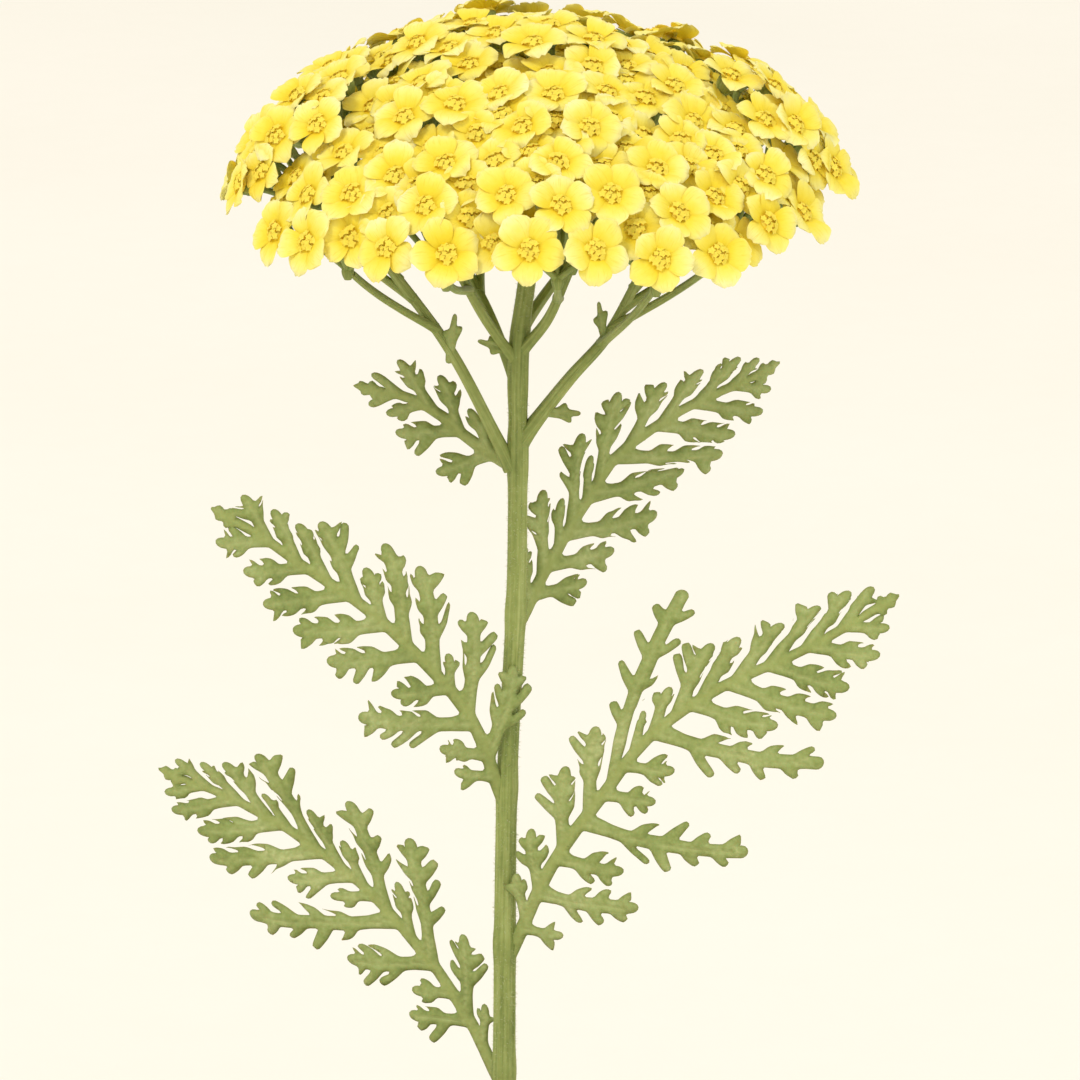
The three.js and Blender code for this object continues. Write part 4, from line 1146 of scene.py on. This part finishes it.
def make_leaf(name, leaf, seed, step=0.5):
    """A feathery leaf: a thin folded blade with a thicker rib and a vein in each leaflet."""
    path = np.array(leaf["path"], float)
    out = path[-1] - path[0]
    out[2] = 0
    out = unit(out)
    face = np.array(leaf.get("facing", (out[1], -out[0], 0)), float)
    if face[1] > 0:
        face = -face
    across = np.cross(face, out)
    flat = np.column_stack([path @ out, path @ across])
    rib = Way(catmull(flat))
    bow = path @ face
    up = -1 if across[2] < 0 else 1
    outline, axes = leaf_outline(leaf, rib, up, 1 / max(0.85, abs(out[0])), seed)
    points, faces, rim = sheet_of(outline, step)
    apart, which = nearest(points, rib.points)
    from_edge, _ = nearest(points, points[rim])
    vein_gap, _ = nearest(points, np.vstack([denser(axis, 60) for axis in axes]))
    wave = WAVE_HEIGHT * np.sin(points[:, 0] * 0.55 + seed) * np.sin(points[:, 1] * 0.5 + 2 * seed)
    curl = -EDGE_CURL * np.maximum(0, 1 - from_edge / 0.9) ** 2
    fold = math.sin(math.radians(leaf["fold"]))
    lift = apart * fold - apart**2 / DISH + wave * np.minimum(1, apart / 5) + curl
    groove = (VEIN_GROOVE * fade(vein_gap, 0.3) + RIB_GROOVE * fade(apart, 0.4)) * ~rim
    thick = mix(RIB_THICKNESS, leaf.get("thickness", LEAF_THICKNESS), np.minimum(1, apart / 2.5))
    thick = np.maximum(EDGE_THICKNESS, thick * np.sqrt(np.minimum(1, from_edge / 0.55)))
    middle = np.array([bow_at(bow, share) for share in which / (len(rib.points) - 1)]) + lift
    plane = np.outer(points[:, 0], out) + np.outer(points[:, 1], across)
    both = np.vstack([plane + np.outer(middle + thick / 2 - groove, face),
                      plane + np.outer(middle - thick / 2 - 0.7 * groove, face)])
    values = {"vein": fade(vein_gap, 0.26), "edge": from_edge, "rib": fade(apart, 0.75)}
    values = {key: np.tile(value, 2) for key, value in values.items()}
    return new_piece(name, both, blade_faces(points, faces), LEAF, values)


def basal_leaf(index):
    """The plan of a leaf that arches out from the soil over the pot's rim."""
    turn = math.radians(BASAL_START + 360 * index / BASAL_LEAVES)
    reach = mix(0.9, 1.04, draw(index, 60))
    path = []
    for i, (r, z) in enumerate(BASAL_ARCH):
        bend = turn + math.radians(mix(-5, 5, draw(index, 61))) * i * 0.6
        r = r * (reach if i else 1)
        path.append((r * math.cos(bend), r * math.sin(bend), z))

    def pairs(shift):
        made = []
        for i in range(BASAL_PAIRS):
            envelope = math.sin(math.pi * mix(0.22, 0.88, i / (BASAL_PAIRS - 1)))
            length = BASAL_LEAFLET * envelope * mix(0.85, 1.1, draw(index + 7 * i, 62 + shift))
            made.append((0.3 + 0.62 * (i + shift) / BASAL_PAIRS, length))
        return made

    return {"path": path, "facing": (0, 0, 1), "fold": 16, "thickness": 0.95,
            "angles": {"upper": (62, 42), "lower": (62, 42)}, "upper": pairs(0), "lower": pairs(0.4)}


def make_bract(foot, tip, width):
    """A small cut bract on a branch."""
    foot, tip = np.array(foot, float), np.array(tip, float)
    length = np.linalg.norm(tip - foot)
    along = unit(tip - foot)
    facing = np.array((0, -1, 0.3))
    facing = unit(facing - along * np.dot(facing, along))
    across = np.cross(facing, along)
    outline = np.array(BRACT_OUTLINE) * (length, width)
    outline[[0, -1], 0] = -BRACT_ROOT
    points, faces, rim = sheet_of(outline, 0.4)
    from_edge, _ = nearest(points, points[rim])
    thick = np.maximum(EDGE_THICKNESS, LEAF_THICKNESS * np.sqrt(np.minimum(1, from_edge / 0.5)))
    groove = BRACT_GROOVE * fade(points[:, 1], 0.3) * ~rim
    plane = foot + np.outer(points[:, 0], along) + np.outer(points[:, 1], across)
    both = np.vstack([plane + np.outer(thick / 2 - groove, facing),
                      plane - np.outer(thick / 2 + groove, facing)])
    values = {"vein": np.tile(fade(points[:, 1], 0.26), 2), "edge": np.tile(from_edge, 2)}
    return both, blade_faces(points, faces), values


keep(make_stem(), "stem", "stem")
bracts = Stock("vein", "edge")
for bract in BRACTS:
    points, faces, values = make_bract(*bract)
    bracts.add(points, faces, **values)
keep(bracts.piece("branch_bracts", LEAF), "stem", "stem")
for order, (name, leaf) in enumerate(STEM_LEAVES.items()):
    keep(make_leaf(f"feathery_{name}", leaf, order + 1), "leaf", name)
for index in range(BASAL_LEAVES):
    keep(make_leaf(f"feathery_basal_{index + 1}", basal_leaf(index), index + 9, step=0.6), "leaf",
         f"basal_leaf_{index + 1}")


# Flower head

PETAL_ROWS, PETAL_COLUMNS = 10, 9
PETAL_START = 0.7
PETAL_SHOULDER = 0.62
PETAL_THICKNESS = 0.16
PETAL_OVERLAP = 1.5
PETAL_LENGTH = (1.0, 1.12)
PETAL_HALF_WIDTH = (0.42, 0.5)
PETAL_RISE = (0.25, 0.7)
PETAL_SWAY = 6
PEDICEL_RADIUS = 0.5
KNOB_FOOT = 1.6
CUP_LIP = 0.35
FLORETS = 11
FLORET_SIZE = 1.25
FLORET_SIDES = 10


def on_dome(spray, at):
    """From a spray's flat plan to its place on the dome: the point, and the way it faces there."""
    outward, across, normal = spray_axes(spray)
    x, y = at
    drop = normal * (x * x + y * y) / (2 * SPRAY_DOME_RADIUS)
    place = spray_middle(spray) + outward * x + across * y - drop
    return place, unit(normal + outward * x / SPRAY_DOME_RADIUS + across * y / SPRAY_DOME_RADIUS)


class Bloom:
    """A bloom on a spray's flat plan: where it stands and the way its first petal turns."""

    def __init__(self, spray, index, order, at, turn):
        self.at, self.turn = np.asarray(at, float), turn
        self.radius = BLOOM_RADIUS * mix(0.94, 1, draw(index, order))
        self.place, facing = on_dome(spray, at)
        sway = [LEAN_SPREAD * (draw(31 * index + order, 70 + k) - 0.5) for k in (0, 1)]
        self.facing = unit(facing + (sway[0], sway[1] - LEAN_FORWARD, 0))


def grow_blooms():
    """Every spray's blooms, each grown on from a petal of one that stands, where there is room."""
    plans = [[Bloom(spray, index, 0, (0, 0), math.pi / PETALS)] for index, spray in enumerate(SPRAYS)]
    newest = [list(plan) for plan in plans]
    for growth in range(BLOOM_ROUNDS):
        for index, spray in enumerate(SPRAYS):
            grown_now = []
            for parent in newest[index]:
                for petal in range(1 if growth else 0, PETALS):
                    angle = parent.turn + petal * 2 * math.pi / PETALS
                    order = len(plans[index])
                    reach = BLOOM_SPACING * mix(0.97, 1.05, draw(index, order + 20))
                    at = parent.at + reach * np.array([math.cos(angle), math.sin(angle)])
                    bloom = Bloom(spray, index, order, at, angle + math.pi)
                    clear = all(np.linalg.norm(other.place - bloom.place) > BLOOM_CLEARANCE
                                for plan in plans for other in plan)
                    if clear and np.linalg.norm(at) < SPRAY_REACH:
                        plans[index].append(bloom)
                        grown_now.append(bloom)
            newest[index] = grown_now
    return plans


def add_young(plans):
    """Younger blooms, smaller and set lower, where the full-grown ones leave a gap."""
    spots = []
    for index, spray in enumerate(SPRAYS):
        for k in range(YOUNG_TRIES):
            reach, angle = SPRAY_REACH * math.sqrt((k + 0.5) / YOUNG_TRIES), k * GOLDEN_TURN
            at = (reach * math.cos(angle), reach * math.sin(angle))
            from_axis = math.dist(spray[0][:2], HEAD_AXIS)
            if at[0] < YOUNG_EDGE or from_axis < 0.7 * OUTER_RING:
                spots.append((index, at))
    stands = [on_dome(SPRAYS[index], at) for index, at in spots]
    places, facings = (np.array(column) for column in zip(*stands))
    room = np.full(len(spots), math.inf)

    def take(place):
        toward = place - places
        above = (toward * facings).sum(1)
        beside = np.linalg.norm(toward - facings * above[:, None], axis=1)
        apart = np.where(np.abs(above) < YOUNG_DEPTH, beside, np.linalg.norm(toward, axis=1))
        np.minimum(room, apart, out=room)

    for plan in plans:
        for bloom in plan:
            take(bloom.place)
    while room.max() > YOUNG_ROOM:
        best = int(room.argmax())
        index, at = spots[best]
        order = len(plans[index])
        bloom = Bloom(SPRAYS[index], index, order, at, 6.28 * draw(order, index + 51))
        take(bloom.place)
        bloom.radius *= YOUNG_SIZE
        bloom.place = bloom.place - bloom.facing * YOUNG_DROP
        plans[index].append(bloom)
    return plans


BLOOMS = add_young(grow_blooms())
BLOOM_PLACES = np.array([bloom.place for plan in BLOOMS for bloom in plan])


def petal_reach(bloom, way, length):
    """A petal's length, drawn in to just past the half-way plane to any other bloom."""
    toward = BLOOM_PLACES - bloom.place
    apart = np.linalg.norm(toward, axis=1)
    near = (apart > 0.1) & (apart < 2 * length)
    for gap, heading in zip(apart[near], toward[near]):
        share = float(np.dot(heading / gap, way))
        if share > 0.35:
            length = min(length, (gap / 2 + PETAL_OVERLAP) / share)
    return max(length, 0.6 * BLOOM_RADIUS)


def petal_faces():
    """The faces of a thin closed petal: its top and underside share their edge points."""
    top = np.arange(PETAL_ROWS * PETAL_COLUMNS).reshape(PETAL_ROWS, PETAL_COLUMNS)
    below = top.copy()
    below[1:-1, 1:-1] = top.size + np.arange(below[1:-1, 1:-1].size).reshape(below[1:-1, 1:-1].shape)

    def squares(grid):
        corners = grid[:-1, :-1], grid[1:, :-1], grid[1:, 1:], grid[:-1, 1:]
        return np.stack(corners, axis=-1).reshape(-1, 4).tolist()

    return squares(top) + [face[::-1] for face in squares(below)]


PETAL_FACES = petal_faces()


def petal_points(length, width, item):
    """One petal in its own axes: out from the bloom's middle, across, and up."""
    s = np.linspace(0, 1, PETAL_ROWS)[:, None]
    t = np.linspace(-1, 1, PETAL_COLUMNS)[None]
    grow = np.where(s < PETAL_SHOULDER, 0.34 + 0.66 * np.sin(np.minimum(s / PETAL_SHOULDER, 1) * math.pi / 2),
                    np.sqrt(np.clip(1 - ((s - PETAL_SHOULDER) / 0.42) ** 2, 0.02, 1)))
    x = PETAL_START + (length - PETAL_START) * s * (1 - 0.12 * t**2 * s)
    x = x - mix(0.1, 0.5, draw(item, 8)) * fade(t, 0.25) * s**8 + 0.16 * np.cos(3 * math.pi * t) * s**6
    y = width * grow * t
    rise = mix(*PETAL_RISE, draw(item, 9))
    z = 0.45 + rise * length * s * (1 - 0.45 * s) + 0.35 * t * s * mix(0.6, 1.3, draw(item, 3))
    z = z + mix(-0.5, 0.35, draw(item, 4)) * t**2 * s + 0.12 * np.cos(2.5 * math.pi * t) * s
    z = z - mix(0.3, 1.3, draw(item, 6)) * s**5
    s, t = np.broadcast_to(s, x.shape), np.broadcast_to(t, x.shape)
    inner = np.zeros(x.shape, bool)
    inner[1:-1, 1:-1] = True
    top = np.column_stack([x.ravel(), y.ravel(), z.ravel()])
    below = top[inner.ravel()] - (0, 0, PETAL_THICKNESS)
    order = np.concatenate([np.arange(x.size), np.nonzero(inner.ravel())[0]])
    return np.vstack([top, below]), s.ravel()[order], t.ravel()[order]


def cup_relief(turns, place):
    """Overlapping scales round a bloom's green cup."""
    row = place * 4
    scale = np.abs(np.cos(3.5 * turns + math.pi / 2 * (int(row) % 2)))
    return 0.12 * scale * (row - int(row))


def cup_profile(place):
    """A bloom's cup from its foot to its mouth."""
    return 0.5 + 1.1 * math.sin(min(1, place * 1.45) * math.pi / 2) - 0.12 * max(0, place - 0.8)


def pedicel_radius(place):
    """A flower stalk, a little wider at both ends."""
    return PEDICEL_RADIUS + 0.12 * abs(2 * place - 1) ** 4


def make_floret():
    """A tiny open disc floret: a tube that ends in five spread points."""
    points = []
    for height, out, between in ((0, 0.2, 0.2), (0.35, 0.22, 0.22), (0.5, 0.42 * 1.2, 0.42 * 0.75)):
        for k, a in enumerate(full_turn(FLORET_SIDES)):
            radius = between if k % 2 else out
            points.append((radius * math.cos(a), radius * math.sin(a), height))
    points += [(0, 0, 0), (0, 0, 0.38)]
    return shape_only("disc floret", points, ringed_faces(3, FLORET_SIDES))


FLORET = make_floret()


def disc_axes(facing):
    """Two directions across a disc."""
    side = unit(np.cross(facing, (0.2, 1, 0.4)))
    return side, np.cross(facing, side)


def disc_ground(blooms):
    """Points for the florets of a spray's discs, on low domes."""
    spots, ways, sizes = [], [], []
    for bloom in blooms:
        side, third = disc_axes(bloom.facing)
        for k in range(FLORETS):
            share = math.sqrt((k + 0.5) / FLORETS)
            flat = side * math.cos(k * GOLDEN_TURN) + third * math.sin(k * GOLDEN_TURN)
            lift = bloom.facing * (0.6 + 0.45 * (1 - share**2))
            spots.append(bloom.place + flat * 0.82 * DISC_RADIUS * share + lift)
            ways.append(unit(bloom.facing + flat * 0.7 * share))
            sizes.append(mix(0.85, 1.25, draw(len(sizes), 33)) * (0.7 if share < 0.35 else 1))
    ground = new_piece("disc ground", spots, [], DISC)
    layer = ground.data.attributes.new("facing", "FLOAT_VECTOR", "POINT")
    layer.data.foreach_set("vector", np.array(ways, np.float32).ravel())
    layer = ground.data.attributes.new("size", "FLOAT", "POINT")
    layer.data.foreach_set("value", np.array(sizes, np.float32))
    return ground


def disc_domes(stock, place, facing):
    """The low golden dome that the florets stand on."""
    side, third = disc_axes(facing)
    rows, sides = 6, 14
    points = []
    for i in range(rows):
        angle = i / rows * math.pi / 2
        r, z = DISC_RADIUS * math.cos(angle), 0.2 + 0.8 * math.sin(angle)
        points += [place + side * r * math.cos(a) + third * r * math.sin(a) + facing * z
                   for a in full_turn(sides)]
    points += [place + facing * 0.15, place + facing * 1.0]
    stock.add(points, ringed_faces(rows, sides), height=0.1)


def make_petals(index, spray):
    """The petals of all of a spray's blooms."""
    petals = Stock("reach", "across", "tone")
    outward, across, _ = spray_axes(spray)
    for order, bloom in enumerate(BLOOMS[index]):
        ahead = outward * math.cos(bloom.turn) + across * math.sin(bloom.turn)
        ahead = unit(ahead - bloom.facing * np.dot(ahead, bloom.facing))
        beside = np.cross(bloom.facing, ahead)
        for petal in range(PETALS):
            item = index * 40 + order * 6 + petal
            sway = math.radians(mix(-PETAL_SWAY, PETAL_SWAY, draw(item, 1)))
            turn = 2 * math.pi * petal / PETALS + sway
            way = ahead * math.cos(turn) + beside * math.sin(turn)
            length = petal_reach(bloom, way, bloom.radius * mix(*PETAL_LENGTH, draw(item, 2)))
            half = bloom.radius * mix(*PETAL_HALF_WIDTH, draw(item, 10))
            points, reach, side = petal_points(length, half, item)
            points = bloom.place + points @ np.array([way, np.cross(bloom.facing, way), bloom.facing])
            petals.add(points, PETAL_FACES, reach=reach, across=side, tone=mix(0, 0.9, draw(item, 7)))
    return petals


def make_green(index, spray):
    """A spray's flower stalks, the cups under its blooms and the knob that they spring from."""
    green = Stock("along", "around")
    hub = spray_hub(spray)
    for bloom in BLOOMS[index]:
        foot = bloom.place - bloom.facing * (SEAT_GAP + CUP_HEIGHT)
        mouth = bloom.place - bloom.facing * (SEAT_GAP - CUP_LIP)
        bend = bloom.place - bloom.facing * PEDICEL_BEND
        green.grow(Way(bezier(hub, bend, foot)), pedicel_radius, rows=18, sides=10)
        green.grow(Way([foot, mouth]), cup_profile, rows=13, sides=21, relief=cup_relief)
    knob = Way([hub - (0, 0, KNOB_FOOT), hub + (0, 0, KNOB_RADIUS)])
    green.grow(knob, lambda place: 0.55 + 0.45 * math.sin(math.pi * place), rows=9, sides=14)
    return green


for index, spray in enumerate(SPRAYS):
    label = f"{index + 1:02d}"
    discs = Stock("height")
    for bloom in BLOOMS[index]:
        disc_domes(discs, bloom.place, bloom.facing)
    keep(make_petals(index, spray).piece(f"petals_{label}", PETAL), "bloom", f"blooms_{label}")
    keep(discs.piece(f"disc_domes_{label}", DISC), "bloom", f"blooms_{label}")
    florets = grown(f"disc_florets_{label}", disc_ground(BLOOMS[index]), PLACED, DISC, Size=FLORET_SIZE,
                    Shape=FLORET)
    keep(florets, "bloom", f"blooms_{label}")
    keep(make_green(index, spray).piece(f"flower_stalks_{label}", STALK), "stalks", f"stalks_{label}")
bpy.data.objects.remove(FLORET)


# Hairs

hair = shape_only("hair", [
    (0.05, 0, 0), (-0.025, 0.043, 0), (-0.025, -0.043, 0), (0.12, 0.03, 0.62), (0.3, 0.08, 1.1)],
    [(0, 2, 1), (0, 1, 3), (1, 2, 3), (2, 0, 3)])


def bare_tube(name, way, radius_at, rows, sides, low, high):
    """A stretch of plain tube to grow hairs on."""
    shorter = Way([way.at(mix(low, high, k / 60)) for k in range(61)])
    points, faces, _, _ = tube(shorter, lambda p: radius_at(mix(low, high, p)), rows, sides)
    return new_piece(name, points, faces, HAIR)


keep(grown("stem_hairs", bare_tube("hair ground", STEM_WAY, stem_radius, 60, 16, 0.24, 0.97), STREWN, HAIR,
           Density=2600000.0, Smallest=0.5, Largest=1.0, Lean=0.7, Shape=hair, Seed=21), "stem")
bpy.data.objects.remove(hair)


# Floor, light and camera

VIEW_MIDDLE = Vector((0.0064, 0, 0.2261))
VIEW_HEIGHT = math.radians(15)
VIEW_DISTANCE = 0.864
FLOOR_REACH = 6000


def floor_finish():
    material, tree, shader = new_finish("pale floor", Roughness=0.95, Specular_IOR_Level=0.1)
    clouds = use(tree, MOTTLE, Cloud_size=3.0, Speckle_size=60.0, Speckle_share=0.2)
    dress(tree, shader, ramp(tree, clouds, [(0.0, (250, 245, 232)), (1.0, (253, 248, 236))]))
    return material


def make_floor():
    """A broad flat floor."""
    far = FLOOR_REACH
    corners = [(-far, -far, 0), (far, -far, 0), (far, far, 0), (-far, far, 0)]
    return new_piece("floor", corners, [(0, 1, 2, 3)], floor_finish(), smooth=False)


make_floor()


def soft_light(name, place, size, power, colour):
    lamp = bpy.data.lights.new(name, "AREA")
    lamp.shape = "DISK"
    lamp.size = size
    lamp.energy = power
    lamp.color = colour
    light = shown(name, lamp)
    light.location = place
    light.rotation_euler = (VIEW_MIDDLE - Vector(place)).to_track_quat("-Z", "Y").to_euler()


def make_sky():
    """Even pale light from all round."""
    world = bpy.data.worlds.new("studio")
    world.use_nodes = True
    sky = world.node_tree.nodes["Background"].inputs
    sky["Color"].default_value = (1.0, 0.985, 0.955, 1)
    sky["Strength"].default_value = 0.78
    bpy.context.scene.world = world


def make_camera():
    lens = bpy.data.cameras.new("camera")
    lens.lens = 180
    lens.sensor_width = 36
    lens.clip_start = 0.05
    lens.clip_end = 60
    camera = shown("camera", lens)
    back = Vector((0, -math.cos(VIEW_HEIGHT), math.sin(VIEW_HEIGHT)))
    camera.location = VIEW_MIDDLE + back * VIEW_DISTANCE
    camera.rotation_mode = "QUATERNION"
    camera.rotation_quaternion = (-back).to_track_quat("-Z", "Y")
    bpy.context.scene.camera = camera


soft_light("key light", (-4.8, -5.7, 9.2), 3.5, 470, (1.0, 0.98, 0.93))
soft_light("fill light", (7.0, -5.3, 4.8), 5.2, 130, (0.97, 0.99, 1.0))
make_sky()
make_camera()
bpy.context.scene.view_settings.view_transform = "Standard"
